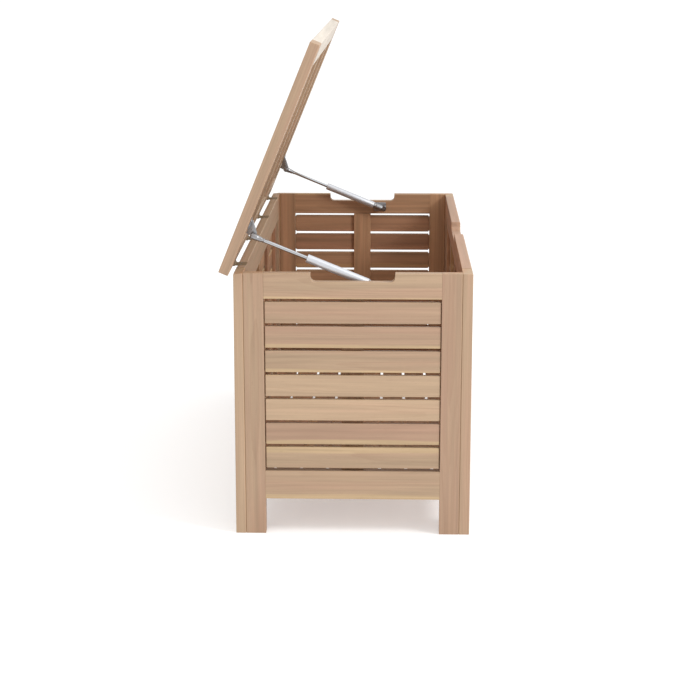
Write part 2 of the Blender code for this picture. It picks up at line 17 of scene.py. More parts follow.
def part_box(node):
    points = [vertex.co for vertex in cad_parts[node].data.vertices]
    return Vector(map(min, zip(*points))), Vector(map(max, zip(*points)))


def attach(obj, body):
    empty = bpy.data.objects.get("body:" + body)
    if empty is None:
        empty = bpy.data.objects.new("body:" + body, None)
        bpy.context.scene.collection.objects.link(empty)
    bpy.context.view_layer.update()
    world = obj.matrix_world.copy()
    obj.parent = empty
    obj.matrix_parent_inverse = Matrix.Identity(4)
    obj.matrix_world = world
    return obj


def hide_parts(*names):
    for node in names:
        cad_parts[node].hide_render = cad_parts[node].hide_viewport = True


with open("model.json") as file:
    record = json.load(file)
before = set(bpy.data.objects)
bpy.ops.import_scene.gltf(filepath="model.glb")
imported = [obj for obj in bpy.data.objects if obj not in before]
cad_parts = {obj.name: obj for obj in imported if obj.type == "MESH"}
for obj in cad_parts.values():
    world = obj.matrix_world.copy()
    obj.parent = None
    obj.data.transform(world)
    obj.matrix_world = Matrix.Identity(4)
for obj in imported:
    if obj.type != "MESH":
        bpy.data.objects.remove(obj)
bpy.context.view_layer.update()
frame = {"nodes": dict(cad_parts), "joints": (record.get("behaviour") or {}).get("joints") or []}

bl_info = {
    "name": "Deck storage box",
    "version": (1, 0, 0),
    "blender": (4, 5, 0),
    "location": "3D View > Sidebar > Storage box",
    "description": "Builds the boards, hinges, gas struts and studio of a slatted storage chest",
    "category": "Object",
}

# ---------------------------------------------------------------- sizes taken from the frame
JOINTS = {joint["name"]: joint for joint in frame["joints"]}
HINGE = Vector(JOINTS["lid_hinge"]["pos_m"])
LID_OPEN = radians(JOINTS["lid_hinge"]["range_deg"][1])
SHIFT_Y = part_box("front_left_leg")[0].y + 0.250      # the box's own middle, from the frame's origin
GRAIN_X, GRAIN_Y, GRAIN_Z = 0, 1, 2

# ---------------------------------------------------------------- the box's own sizes, in metres
PANELS = {"front": 1, "back": -1, "left_end": 1, "right_end": -1}      # each panel's way into the box
LONG_PANELS = ("front", "back")
SLATS = 7                        # in each panel, and in the lid
SLAT_GAP = 0.0065
SLAT = 0.012
SLAT_SET_BACK = 0.002            # from the legs' outer face
SHOULDER_GAP = 0.0022            # between a slat's shoulder and the leg
TONGUE = (0.0084, 0.0136)        # from the panel's face
JOINED_EASE = 0.0005             # where a leg meets its rails
BATTEN_WIDTH = 0.046
SIDE_BATTENS = (-0.390, -0.130, 0.130, 0.390)
BACK_ROUND = 0.009
FRONT_ROUND = 0.003
CUTOUT = 0.176                   # the hand cut-outs
CUTOUT_DEPTH = 0.0185
CUTOUT_ROUND = 0.010
FLOOR_SLATS = 8
FLOOR_PITCH = 0.057
FLOOR_SLAT_WIDTH = 0.050
FLOOR_SLAT = 0.012
BEARERS = (-0.535, -0.2675, 0.0, 0.2675, 0.535)
BEARER_WIDTH = 0.050
LID_HALF_LENGTH = 0.620
LID_DEPTH = 0.503
LID_BEHIND = 0.0007              # the shut lid's back edge, behind the hinge pin
LID_ABOVE = 0.001                # its underside, above the pin
LID_RAIL = 0.050
LID_STILE = 0.088
LID = 0.021
LID_BATTENS = (-0.205, 0.205)
LID_BATTEN_WIDTH = 0.045
HINGES = (-0.477, -0.159, 0.159, 0.477)
HINGE_LENGTH = 0.035
HINGE_SCREWS = (-0.009, 0.009)
HINGE_SCREW_INSET = 0.0145       # from the pin
STRUT_LENGTH = 0.27697           # between its two pivots
TUBE_START = 0.0185              # along the strut, from the lower pivot
TUBE_END = 0.1563
PLATE = 0.002
PLATE_SCREWS = (-0.0128, 0.0128)
FOOT_SCREWS = (-0.0290, -0.0185) # from the ball
CAMERA_PLACE = (-3.8691, -0.0767, 1.2070)
CAMERA_WAY = (0.97124, 0.02426, -0.23690)


# ---------------------------------------------------------------- what a user may change
class StorageBoxWood(bpy.types.PropertyGroup):
    """Colours and sizes of the timber."""
    heart: FloatVectorProperty(name="Heartwood", description="Main colour of the boards", subtype="COLOR",
                               default=(0.418, 0.293, 0.190), min=0, max=1)
    rose: FloatVectorProperty(name="Rosy wood", description="Colour of the pinkish brown boards", subtype="COLOR",
                              default=(0.372, 0.232, 0.158), min=0, max=1)
    sap: FloatVectorProperty(name="Sapwood", description="Colour of the pale yellow streaks", subtype="COLOR",
                             default=(0.495, 0.355, 0.205), min=0, max=1)
    line: FloatVectorProperty(name="Grain lines", description="Colour of the darkest growth lines",
                              subtype="COLOR", default=(0.24, 0.13, 0.075), min=0, max=1)
    cream: FloatVectorProperty(name="Cream wood", description="Colour of the palest board", subtype="COLOR",
                               default=(0.60, 0.54, 0.465), min=0, max=1)
    # Painted shade: inside the box every board colour is multiplied by this. It stands in for the darker shade that
    # falls there.
    shade: FloatVectorProperty(name="Painted inner shade", description="What the colours are multiplied by inside the box",
                               subtype="COLOR", default=(1.0, 0.82, 0.70), min=0, max=1)
    ring: FloatProperty(name="Growth ring", description="Distance between growth rings", default=0.0036,
                        min=0.001, max=0.03, unit="LENGTH", subtype="DISTANCE")
    ease: FloatProperty(name="Eased edge", description="Radius of the boards' edges", default=0.0014,
                        min=0.0005, max=0.002, unit="LENGTH", subtype="DISTANCE")
    roughness: FloatProperty(name="Roughness", description="How matt the oiled wood is", default=0.56,
                             min=0, max=1, subtype="FACTOR")
    seed: IntProperty(name="Timber seed", description="Picks which part of the tree each board comes from",
                      default=7, min=0)


class StorageBoxMetal(bpy.types.PropertyGroup):
    """Colours of the fittings."""
    tube: FloatVectorProperty(name="Tube", description="Colour of the strut tubes", subtype="COLOR",
                              default=(0.64, 0.66, 0.70), min=0, max=1)
    rod: FloatVectorProperty(name="Rod", description="Colour of the polished rods", subtype="COLOR",
                             default=(0.50, 0.51, 0.53), min=0, max=1)
    fitting: FloatVectorProperty(name="Fitting", description="Colour of the plated fittings", subtype="COLOR",
                                 default=(0.36, 0.36, 0.37), min=0, max=1)
    hinge: FloatVectorProperty(name="Hinge", description="Colour of the hinges", subtype="COLOR",
                               default=(0.24, 0.17, 0.10), min=0, max=1)
    gland: FloatVectorProperty(name="Gland", description="Colour of the rod guides", subtype="COLOR",
                               default=(0.03, 0.03, 0.032), min=0, max=1)


class StorageBoxStage(bpy.types.PropertyGroup):
    """Floor, lights and camera."""
    floor: FloatVectorProperty(name="Floor", description="Colour of the studio floor", subtype="COLOR",
                               default=(0.70, 0.70, 0.70), min=0, max=1)
    glow: FloatProperty(name="Floor glow", description="Light that the floor adds of its own, to lift its shadows",
                        default=0.38, min=0, max=2)
    sky: FloatProperty(name="Surrounding light", description="Strength of the even white light", default=1.0,
                       min=0, max=5)
    top: FloatProperty(name="Top light", description="Power of the soft box overhead", default=16.0,
                       min=0, max=2000, unit="POWER", subtype="POWER")
    key: FloatProperty(name="Key light", description="Power of the soft box in front of the box", default=46.0,
                       min=0, max=2000, unit="POWER", subtype="POWER")
    lens: FloatProperty(name="Lens", description="Focal length of the camera in millimetres", default=83.28,
                        min=20, max=300, unit="CAMERA", subtype="DISTANCE_CAMERA")


# ---------------------------------------------------------------- surfaces
def arc(start, sweep, steps):
    """Angles from start through sweep, as a row."""
    return start + sweep * np.linspace(0.0, 1.0, steps + 1)


def shape(points, faces, **attributes):
    """A surface's points and faces, with whatever its points carry for the finish."""
    return {"points": np.asarray(points, float), "faces": list(faces), **attributes}


def ring_faces(rings, sides, first_cap=True, last_cap=True, flip=False):
    """Quads between rings of equally many points, and one flat face over each open end."""
    i = np.arange(rings - 1)[:, None] * sides
    j = np.arange(sides)[None, :]
    k = (j + 1) % sides
    quads = np.stack([i + j, i + k, i + sides + k, i + sides + j], -1).reshape(-1, 4)
    faces = [tuple(q) for q in (quads[:, ::-1] if flip else quads).tolist()]
    low = tuple(range(sides - 1, -1, -1))
    high = tuple(range((rings - 1) * sides, rings * sides))
    if first_cap:
        faces.append(low[::-1] if flip else low)
    if last_cap:
        faces.append(high[::-1] if flip else high)
    return faces


def rounded_bar(low, high, along, ease, corners=None, top=None, tight=None):
    """A rounded rectangle carried along one axis. Near both ends it shrinks inwards by a quarter circle's law,
    so every edge is eased. Its upper side follows the broken line top, given as (distance, height) pairs, and
    corners gives the radii of its four corners, counter-clockwise from the far upper one; tight is the radius at
    both ends, where they meet another board.
    Returns the points, faces, how near each point is to an edge, from 0 to 1, and the way each point faces."""
    low, high = np.array(low, float), np.array(high, float)
    u, v = [a for a in range(3) if a != along]
    radii = np.array(corners or [ease] * 4) * 1.0
    ease = tight or ease
    radii = np.maximum(radii, ease) * 1.12
    steps = 6 if radii.max() > 0.004 else 3
    turn = np.concatenate([arc(k * pi / 2, pi / 2, steps) for k in range(4)])
    corner = np.repeat(np.arange(4), steps + 1)
    right = np.isin(corner, (0, 3))
    upper = np.isin(corner, (0, 1))
    radius = radii[corner]

    bend = arc(0.0, pi / 2, 3)
    start, inset = ease - ease * np.cos(bend), ease - ease * np.sin(bend)
    stations = np.concatenate([low[along] + start, high[along] - start])
    insets = np.concatenate([inset, inset])
    if top is not None:
        line = np.asarray(top, float)
        stations = np.concatenate([stations, line[:, 0]])
        insets = np.concatenate([insets, np.zeros(len(line))])
    order = np.argsort(stations, kind="stable")
    stations, insets = stations[order], insets[order]
    ceiling = np.full(len(stations), high[v]) if top is None else np.interp(stations, line[:, 0], line[:, 1])

    reach = radius[None, :] - insets[:, None]
    centre_u = np.where(right, high[u] - radius, low[u] + radius)[None, :]
    centre_v = np.where(upper[None, :], ceiling[:, None] - radius, low[v] + radius)
    points = np.zeros((len(stations), len(turn), 3))
    points[..., u] = centre_u + reach * np.cos(turn)
    points[..., v] = centre_v + reach * np.sin(turn)
    points[..., along] = stations[:, None]
    inside = np.abs(np.sin(2 * turn)) ** 0.5
    edge = np.maximum(inside[None, :], (insets[:, None] / ease) ** 0.5)
    faces = ring_faces(len(stations), len(turn), flip=along == 1)
    facing = np.zeros(points.shape)
    facing[..., u], facing[..., v] = np.cos(turn), np.sin(turn)
    return points.reshape(-1, 3), faces, edge.reshape(-1), facing.reshape(-1, 3)


def cut_line(low, high, top, middle, steps=5):
    """The upper side of a board with a hand cut-out: a broken line with eased upper corners and round lower ones."""
    half, floor, r, e = CUTOUT / 2, top - CUTOUT_DEPTH, CUTOUT_ROUND, 0.0012
    out = arc(0.0, pi / 2, 3)
    deep = arc(0.0, pi / 2, steps)
    lip = np.stack([half + e - e * np.sin(out), top - e + e * np.cos(out)], 1)
    bowl = np.stack([half - 0.0002 - r + r * np.cos(deep), floor + r - r * np.sin(deep)], 1)
    side = np.concatenate([lip, bowl])
    left = side * (-1, 1) + (middle, 0)
    right = side[::-1] * (1, 1) + (middle, 0)
    return np.concatenate([[(low, top)], left, right, [(high, top)]])


def slot_line(low, high, top, places, length, depth):
    """The upper side of a board with flat recesses across it at the given places."""
    line = [(low, top)]
    for x in places:
        a, b = x - length / 2, x + length / 2
        line += [(a - 0.0001, top), (a, top - depth), (b, top - depth), (b + 0.0001, top)]
    return np.array(line + [(high, top)])


def board(low, high, along, seed, ease, look=None, inner=None, **options):
    """A board sawn from its own place in a tree. place runs along the grain, across the width and through the
    thickness, measured from the tree's pith; look holds tone, rosiness, the sapwood's edge and its side, and how
    creamy the board is; cross runs from -1 to 1 over the width. inner gives the axis and direction of the face
    that looks into the box, or a direction of 2 where all of the board is inside."""
    points, faces, edge, facing = rounded_bar(low, high, along, ease, **options)
    dice = np.random.default_rng(seed)
    low, high = np.array(low, float), np.array(high, float)
    size = high - low
    across = sorted((a for a in range(3) if a != along), key=lambda a: -size[a])
    middle = (low + high) / 2
    local = points - middle
    pith = dice.uniform((0, -0.030, 0.030), (60, 0.030, 0.090))
    side = dice.choice((-1.0, 1.0))
    tone, rose, sap = dice.uniform(0.1, 0.9), dice.uniform(0, 1) ** 1.2, dice.uniform(0.25, 1.9)
    bleach = 0.0
    if look is not None:
        tone, rose, sap, side, bleach = (*look, 0.0)[:5]
    place = np.stack([local[:, along], local[:, across[0]], local[:, across[1]]], 1) + pith
    cross = side * local[:, across[0]] / (size[across[0]] / 2)
    count = len(points)
    face, way = inner or (0, 0)
    # inside is 1 on faces that look into the box, where the painted inner shade is laid on
    inside = np.full(count, 1.0 if way else 0.0)
    if abs(way) == 1:
        inside = np.clip(way * facing[:, face] * 2.5 - 1.2, 0.0, 1.0)
    return shape(points, faces, place=place, look=np.tile((tone, rose, sap, bleach), (count, 1)), cross=cross,
                 edge=edge, inside=inside)


def turned(profile, origin, axis, sides=48):
    """A profile of (distance, radius) pairs turned round an axis: distance is carried along the axis, and the
    radius is swung round it in a circle. Ends with no radius close to a point of their own."""
    profile = np.asarray(profile, float)
    forward = Vector(axis).normalized()
    up = Vector((1, 0, 0)) if abs(forward.x) < 0.9 else Vector((0, 0, 1))
    side = forward.cross(up).normalized()
    up = side.cross(forward)
    angle = np.arange(sides) * 2 * pi / sides
    circle = np.cos(angle)[:, None] * np.array(up) + np.sin(angle)[:, None] * np.array(side)
    body = profile[profile[:, 1] > 1e-7]
    points = (np.array(origin)[None, None, :] + body[:, 0][:, None, None] * np.array(forward)
              + body[:, 1][:, None, None] * circle[None])
    points = points.reshape(-1, 3)
    closed = profile[0, 1] > 1e-7
    faces = ring_faces(len(body), sides, False, False, flip=True)
    if closed:
        last = (len(body) - 1) * sides
        j = np.arange(sides)
        k = (j + 1) % sides
        faces += [tuple(q) for q in np.stack([last + k, k, j, last + j], -1)[:, ::-1].tolist()]
        return shape(points, faces)
    ends = np.array(origin) + np.array([profile[0, 0], profile[-1, 0]])[:, None] * np.array(forward)
    first, last = len(points), len(points) + 1
    points = np.concatenate([points, ends])
    tail = (len(body) - 1) * sides
    faces += [(first, j, (j + 1) % sides) for j in range(sides)]
    faces += [(last, tail + (j + 1) % sides, tail + j) for j in range(sides)]
    return shape(points, faces)


def slab(outline, along, start, finish, ease):
    """An outline carried along one axis, its rim drawn in by a quarter circle's law at both faces. The outline
    runs counter-clockwise in the two other axes, and each point moves in along the mean of its sides' normals."""
    outline = np.asarray(outline, float)
    ahead, behind = np.roll(outline, -1, 0) - outline, outline - np.roll(outline, 1, 0)
    normal = [np.stack([d[:, 1], -d[:, 0]], 1) / np.linalg.norm(d, axis=1)[:, None] for d in (ahead, behind)]
    out = normal[0] + normal[1]
    out /= np.maximum((out * normal[0]).sum(1), 0.5)[:, None]
    bend = arc(0.0, pi / 2, 3)
    begin, inset = ease - ease * np.cos(bend), ease - ease * np.sin(bend)
    heights = np.concatenate([start + begin, (finish - begin)[::-1]])
    insets = np.concatenate([inset, inset[::-1]])
    u, v = [a for a in range(3) if a != along]
    flat = outline[None] - insets[:, None, None] * out[None]
    points = np.zeros((len(heights), len(outline), 3))
    points[..., u], points[..., v] = flat[..., 0], flat[..., 1]
    points[..., along] = heights[:, None]
    return shape(points.reshape(-1, 3), ring_faces(len(heights), len(outline), flip=along == 1))


def screw_head(centre, out, radius=0.0029, proud=0.0, turn=0.0):
    """A countersunk head with a cross recess, as a polar grid: its height falls by a smooth step wherever the
    point lies inside either arm of the cross, and its rim rolls over into the hole."""
    rings, sides = 9, 32
    r = np.linspace(0.0, 1.0, rings)[1:, None] * radius
    a = np.arange(sides)[None, :] * 2 * pi / sides
    x, y = r * np.cos(a + turn), r * np.sin(a + turn)
    arm = np.minimum(np.maximum(np.abs(x) / (0.62 * radius), np.abs(y) / (0.13 * radius)),
                     np.maximum(np.abs(y) / (0.62 * radius), np.abs(x) / (0.13 * radius)))
    dip = np.clip(1.6 - 1.2 * arm, 0, 1)
    height = proud * np.sqrt(np.clip(1 - (r / radius) ** 2, 0, 1)) - 0.0009 * dip + 0 * a
    height[-1] = -0.0012
    forward = Vector(out).normalized()
    up = Vector((1, 0, 0)) if abs(forward.x) < 0.9 else Vector((0, 1, 0))
    side = forward.cross(up).normalized()
    up = side.cross(forward)
    points = (np.array(centre) + x[..., None] * np.array(up) + y[..., None] * np.array(side)
              + height[..., None] * np.array(forward)).reshape(-1, 3)
    points = np.concatenate([points, [np.array(centre) + (proud - 0.0009) * np.array(forward)]])
    faces = ring_faces(rings - 1, sides, False, False)
    hub = len(points) - 1
    faces += [(hub, (j + 1) % sides, j) for j in range(sides)]
    faces.append(tuple(range((rings - 2) * sides, (rings - 1) * sides)))
    return shape(points, faces)


def outward(made):
    """Turns a closed shape's faces outwards where its signed volume is below nothing. The volume is the sum, over
    fans of triangles, of each triangle's box product."""
    total = 0.0
    for sides in {len(f) for f in made["faces"]}:
        corners = made["points"][np.array([f for f in made["faces"] if len(f) == sides])]
        total += (corners[:, :1] * np.cross(corners[:, 1:-1], corners[:, 2:])).sum()
    if total < 0:
        made["faces"] = [f[::-1] for f in made["faces"]]
    return made


def moved(made, matrix):
    """A shape carried by a matrix, its pattern with it: each point times the turn, plus the shift."""
    m = np.array(matrix)
    made["points"] = made["points"] @ m[:3, :3].T + m[:3, 3]
    return made


def combined(shapes):
    """Several shapes as one, each array end to end."""
    offsets = np.cumsum([0] + [len(s["points"]) for s in shapes[:-1]])
    faces = [tuple(i + int(o) for i in f) for s, o in zip(shapes, offsets) for f in s["faces"]]
    made = {key: np.concatenate([s[key] for s in shapes]) for key in shapes[0] if key != "faces"}
    return {**made, "faces": faces}


# ---------------------------------------------------------------- objects
ATTRIBUTES = {"place": ("FLOAT_VECTOR", "vector"), "look": ("FLOAT_COLOR", "color"),
              "cross": ("FLOAT", "value"), "edge": ("FLOAT", "value"), "inside": ("FLOAT", "value")}


def piece(name, made, material, body, replaces=(), smooth=None):
    """A mesh object at the origin from a shape, with its attributes, finish and body."""
    mesh = bpy.data.meshes.new(name)
    mesh.from_pydata(made["points"].tolist(), [], made["faces"])
    for key, (kind, field) in ATTRIBUTES.items():
        if key in made:
            layer = mesh.attributes.new("board_" + key, kind, "POINT")
            layer.data.foreach_set(field, np.asarray(made[key], np.float32).ravel())
    mesh.update()
    if smooth is not None:
        mesh.shade_smooth()
        mesh.set_sharp_from_angle(angle=radians(smooth))
    mesh.materials.append(material)
    thing = bpy.data.objects.new(name, mesh)
    bpy.context.scene.collection.objects.link(thing)
    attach(thing, body)
    if replaces:
        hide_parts(*replaces)
    return thing


def dressed(node, material):
    """A frame piece that keeps its shape and takes a new finish."""
    mesh = frame["nodes"][node].data
    mesh.materials.clear()
    mesh.materials.append(material)


# ---------------------------------------------------------------- finishes
class Net:
    """Short words for laying out a node tree."""

    def __init__(self, tree):
        self.tree = tree

    def node(self, kind, settings=None, **inputs):
        made = self.tree.nodes.new(kind)
        for key, value in (settings or {}).items():
            setattr(made, key, value)
        for key, value in inputs.items():
            self.feed(made.inputs[key if key in made.inputs else int(key[1:])], value)
        return made

    def feed(self, socket, value):
        if isinstance(value, bpy.types.NodeSocket):
            self.tree.links.new(value, socket)
        else:
            socket.default_value = value

    def math(self, operation, a, b=0.0, clamp=False):
        return self.node("ShaderNodeMath", {"operation": operation, "use_clamp": clamp}, i0=a, i1=b).outputs[0]

    def plus(self, a, b, clamp=False):
        return self.math("ADD", a, b, clamp)

    def times(self, a, b):
        return self.math("MULTIPLY", a, b)

    def sway(self, value, reach):
        """A noise about its own middle, times reach."""
        return self.times(self.math("SUBTRACT", value, 0.5), reach)

    def scaled(self, place, factors):
        return self.node("ShaderNodeVectorMath", {"operation": "MULTIPLY"}, i0=place, i1=factors).outputs[0]

    def dimmed(self, colour, light):
        """A colour times a number."""
        return self.scaled(colour, self.node("ShaderNodeCombineXYZ", None, X=light, Y=light, Z=light).outputs[0])

    def noise(self, place, scale, detail=2.0, roughness=0.5):
        made = self.node("ShaderNodeTexNoise", {"noise_dimensions": "3D"}, Vector=place, Scale=scale, Detail=detail,
                         Roughness=roughness)
        return made.outputs[0]

    def drawn_out(self, place, along, across, detail=2.0, roughness=0.5):
        """Noise with its own scale along X, and another across it."""
        return self.noise(self.scaled(place, (along, across, across)), 1.0, detail, roughness)

    def step(self, value, low, high, start=0.0, end=1.0):
        made = self.node("ShaderNodeMapRange", {"interpolation_type": "SMOOTHSTEP"}, Value=value)
        for name, number in (("From Min", low), ("From Max", high), ("To Min", start), ("To Max", end)):
            self.feed(made.inputs[name], number)
        return made.outputs[0]

    def mix(self, factor, a, b, blend="MIX"):
        made = self.node("ShaderNodeMix", {"data_type": "RGBA", "blend_type": blend, "clamp_factor": True})
        self.feed(made.inputs[0], factor)
        self.feed(made.inputs[6], a)
        self.feed(made.inputs[7], b)
        return made.outputs[2]


def group(name, inputs, outputs):
    """A new shader node group with named sockets, and the net, inputs and outputs inside it."""
    tree = bpy.data.node_groups.new(name, "ShaderNodeTree")
    for words, kind, default in inputs:
        socket = tree.interface.new_socket(words, in_out="INPUT", socket_type=kind)
        if default is not None:
            socket.default_value = default
    for words, kind in outputs:
        tree.interface.new_socket(words, in_out="OUTPUT", socket_type=kind)
    return tree, Net(tree), tree.nodes.new("NodeGroupInput").outputs, tree.nodes.new("NodeGroupOutput").inputs


def grain_group():
    """Solid timber: growth rings round the pith, fibres and pores drawn out along it, sapwood along one edge,
    slow drifts of colour, the odd knot, and edges rubbed a little paler."""
    name = "solid_timber"
    if name in bpy.data.node_groups:
        return bpy.data.node_groups[name]
    colour, value, vector = "NodeSocketColor", "NodeSocketFloat", "NodeSocketVector"
    tree, net, given, result = group(
        name,
        [("Place", vector, None), ("Tone", value, 0.5), ("Rosiness", value, 0.3), ("Sapwood", value, 1.0),
         ("Cross", value, 0.0), ("Edge", value, 0.0), ("Inside", value, 0.0), ("Bleach", value, 0.0),
         ("Heart", colour, None), ("Rose", colour, None), ("Sap", colour, None), ("Line", colour, None),
         ("Cream", colour, None), ("Shade", colour, None), ("Ring", value, 0.006), ("Roughness", value, 0.5)],
        [("Color", colour), ("Roughness", value), ("Height", value)])
    place = given["Place"]
    slow = net.drawn_out(place, 1.1, 9.0)
    drift = net.drawn_out(place, 2.6, 22.0, 3.0)
    bent = net.drawn_out(place, 4.0, 60.0)
    parts = net.node("ShaderNodeSeparateXYZ", None, Vector=place).outputs
    flat = net.node("ShaderNodeCombineXYZ", None, X=0.0, Y=parts[1], Z=parts[2]).outputs[0]
    radial = net.node("ShaderNodeVectorMath", {"operation": "LENGTH"}, i0=flat).outputs["Value"]
    radial = net.plus(net.plus(radial, net.sway(slow, 0.034)), net.sway(bent, 0.0045))
    count = net.math("DIVIDE", radial, given["Ring"])
    saw = net.math("FRACT", count)
    late = net.times(net.step(saw, 0.35, 0.93), net.step(saw, 1.0, 0.95))
    year = net.node("ShaderNodeCombineXYZ", None, X=net.math("FLOOR", count), Y=0.0, Z=0.0).outputs[0]
    late = net.times(late, net.step(net.noise(year, 0.73, 0.0), 0.30, 0.72))

    fibres = net.drawn_out(place, 7.0, 420.0, 3.0, 0.62)
    bundles = net.drawn_out(place, 3.2, 115.0)
    streaks = net.drawn_out(place, 1.7, 62.0, 2.0, 0.6)
    pore = net.step(net.drawn_out(place, 55.0, 1500.0, 1.0), 0.66, 0.78)

    spots = net.node("ShaderNodeTexVoronoi", None, Vector=net.scaled(place, (2.1, 10.0, 10.0)), Scale=1.0)
    chance = net.node("ShaderNodeSeparateColor", None, Color=spots.outputs["Color"]).outputs[0]
    knotty = net.math("GREATER_THAN", chance, 0.90)
    near = net.plus(spots.outputs["Distance"], net.times(bent, 0.04))
    knot = net.times(net.step(near, 0.085, 0.035), knotty)
    halo = net.times(net.step(near, 0.30, 0.06), knotty)

    rosy = net.plus(given["Rosiness"], net.sway(drift, 1.6))
    rosy = net.plus(rosy, net.sway(streaks, 1.3), True)
    base = net.mix(rosy, given["Heart"], given["Rose"])
    reach = net.plus(net.plus(given["Cross"], net.sway(slow, 1.5)), net.sway(drift, 0.5))
    pale = net.step(net.math("SUBTRACT", reach, given["Sapwood"]), -0.06, 0.16)
    base = net.mix(net.times(pale, 0.85), base, given["Sap"])

    light = net.plus(net.sway(given["Tone"], 0.38), 1.0)
    for noise, strength in ((drift, 0.22), (streaks, 0.44), (bundles, 0.36)):
        light = net.plus(light, net.sway(noise, strength))
    stripes = net.times(given["Inside"], net.math("SUBTRACT", streaks, 0.5))
    light = net.plus(light, net.times(stripes, 0.7))
    light = net.plus(light, net.sway(fibres, 0.28))
    lined = net.dimmed(base, light)
    for mask, strength in ((late, 0.20), (pore, 0.24), (halo, 0.18), (knot, 0.75)):
        lined = net.mix(net.times(mask, strength), lined, given["Line"])
    rubbed = net.times(given["Edge"], net.step(bundles, 0.30, 0.70, 0.10, 0.45))
    lined = net.mix(rubbed, lined, given["Sap"])
    # Painted shade: inside the box the colour is multiplied by Shade, which darkens and reddens it the way the shade
    # there would
    shaded_inside = net.mix(given["Inside"], lined, net.scaled(lined, given["Shade"]))
    cream = net.mix(net.times(late, 0.14), net.dimmed(given["Cream"], light), lined)
    net.feed(result["Color"], net.mix(given["Bleach"], shaded_inside, cream))

    rough = net.plus(given["Roughness"], net.sway(fibres, 0.22))
    rough = net.math("SUBTRACT", rough, net.times(late, 0.05))
    net.feed(result["Roughness"], net.plus(rough, net.times(pore, 0.12), True))
    height = net.plus(net.times(fibres, 0.55), net.times(late, 0.25))
    net.feed(result["Height"], net.math("SUBTRACT", height, net.times(pore, 0.5)))
    return tree


def new_material(name):
    """An empty material, the net inside it and its shader."""
    made = bpy.data.materials.new(name)
    made.use_nodes = True
    nodes = made.node_tree.nodes
    return made, Net(made.node_tree), nodes["Principled BSDF"]


def timber(settings):
    """Oiled hardwood that reads each board's own place in the tree."""
    if "oiled_hardwood" in bpy.data.materials:
        return bpy.data.materials["oiled_hardwood"]
    made, net, shader = new_material("oiled_hardwood")

    def attribute(name):
        return net.node("ShaderNodeAttribute", {"attribute_name": "board_" + name}).outputs

    look = net.node("ShaderNodeSeparateColor", None, Color=attribute("look")["Color"]).outputs
    colours = {name.title(): (*getattr(settings, name), 1.0)
               for name in ("heart", "rose", "sap", "line", "cream", "shade")}
    grain = net.node("ShaderNodeGroup", {"node_tree": grain_group()}, Place=attribute("place")["Vector"],
                     Tone=look[0], Rosiness=look[1], Sapwood=look[2], Cross=attribute("cross")["Fac"],
                     Edge=attribute("edge")["Fac"], Inside=attribute("inside")["Fac"],
                     Bleach=attribute("look")["Alpha"], Ring=settings.ring, Roughness=settings.roughness,
                     **colours).outputs
    bump = net.node("ShaderNodeBump", None, Strength=0.32, Distance=0.0006, Height=grain["Height"])
    net.feed(shader.inputs["Base Color"], grain["Color"])
    net.feed(shader.inputs["Roughness"], grain["Roughness"])
    net.feed(shader.inputs["Normal"], bump.outputs[0])
    shader.inputs["Specular IOR Level"].default_value = 0.35
    return made


def drawn_group():
    """Drawn or plated metal: fine lines along the X of the given place, soft smudges and specks of dirt."""
    name = "drawn_metal"
    if name in bpy.data.node_groups:
        return bpy.data.node_groups[name]
    colour, value, vector = "NodeSocketColor", "NodeSocketFloat", "NodeSocketVector"
    tree, net, given, result = group(
        name, [("Place", vector, None), ("Tint", colour, None), ("Roughness", value, 0.3), ("Smudges", value, 0.5),
               ("Dirt", value, 0.3)],
        [("Color", colour), ("Roughness", value), ("Height", value)])
    place = given["Place"]
    lines = net.drawn_out(place, 30.0, 2600.0)
    smudge = net.noise(place, 95.0, 3.0, 0.6)
    speck = net.step(net.noise(place, 620.0, 2.0), 0.64, 0.74)
    patch = net.times(net.step(smudge, 0.48, 0.72), given["Smudges"])
    dirty = net.times(net.times(speck, net.step(smudge, 0.40, 0.60)), given["Dirt"])
    shade = net.plus(0.96, net.sway(lines, 0.14))
    shade = net.math("SUBTRACT", shade, net.times(patch, 0.10))
    tinted = net.dimmed(given["Tint"], shade)
    net.feed(result["Color"], net.mix(net.times(dirty, 0.6), tinted, (0.10, 0.085, 0.07, 1.0)))
    rough = net.plus(given["Roughness"], net.times(patch, 0.16))
    rough = net.plus(rough, net.sway(lines, 0.10))
    net.feed(result["Roughness"], net.plus(rough, net.times(dirty, 0.3), True))
    net.feed(result["Height"], net.plus(lines, net.times(speck, 0.6)))
    return tree


def metal(name, tint, roughness, metallic=1.0, smudges=0.5, dirt=0.3, tilt=0.0, bump=0.08, specular=0.5):
    """A metal on its own Object coordinates. Its drawing lines run along X; with a tilt they run along Y instead,
    tipped up by that angle, as the struts do."""
    if name in bpy.data.materials:
        return bpy.data.materials[name]
    made, net, shader = new_material(name)
    where = net.node("ShaderNodeTexCoord").outputs["Object"]
    if tilt:
        where = net.node("ShaderNodeMapping", None, Vector=where, Rotation=(0.0, 0.0, -pi / 2)).outputs[0]
        where = net.node("ShaderNodeMapping", None, Vector=where, Rotation=(0.0, tilt, 0.0)).outputs[0]
    finish = net.node("ShaderNodeGroup", {"node_tree": drawn_group()}, Place=where, Tint=(*tint, 1.0),
                      Roughness=roughness, Smudges=smudges, Dirt=dirt).outputs
    lines = net.node("ShaderNodeBump", None, Strength=bump, Distance=0.0002, Height=finish["Height"])
    net.feed(shader.inputs["Base Color"], finish["Color"])
    net.feed(shader.inputs["Roughness"], finish["Roughness"])
    net.feed(shader.inputs["Normal"], lines.outputs[0])
    shader.inputs["Metallic"].default_value = metallic
    shader.inputs["Specular IOR Level"].default_value = specular
    return made


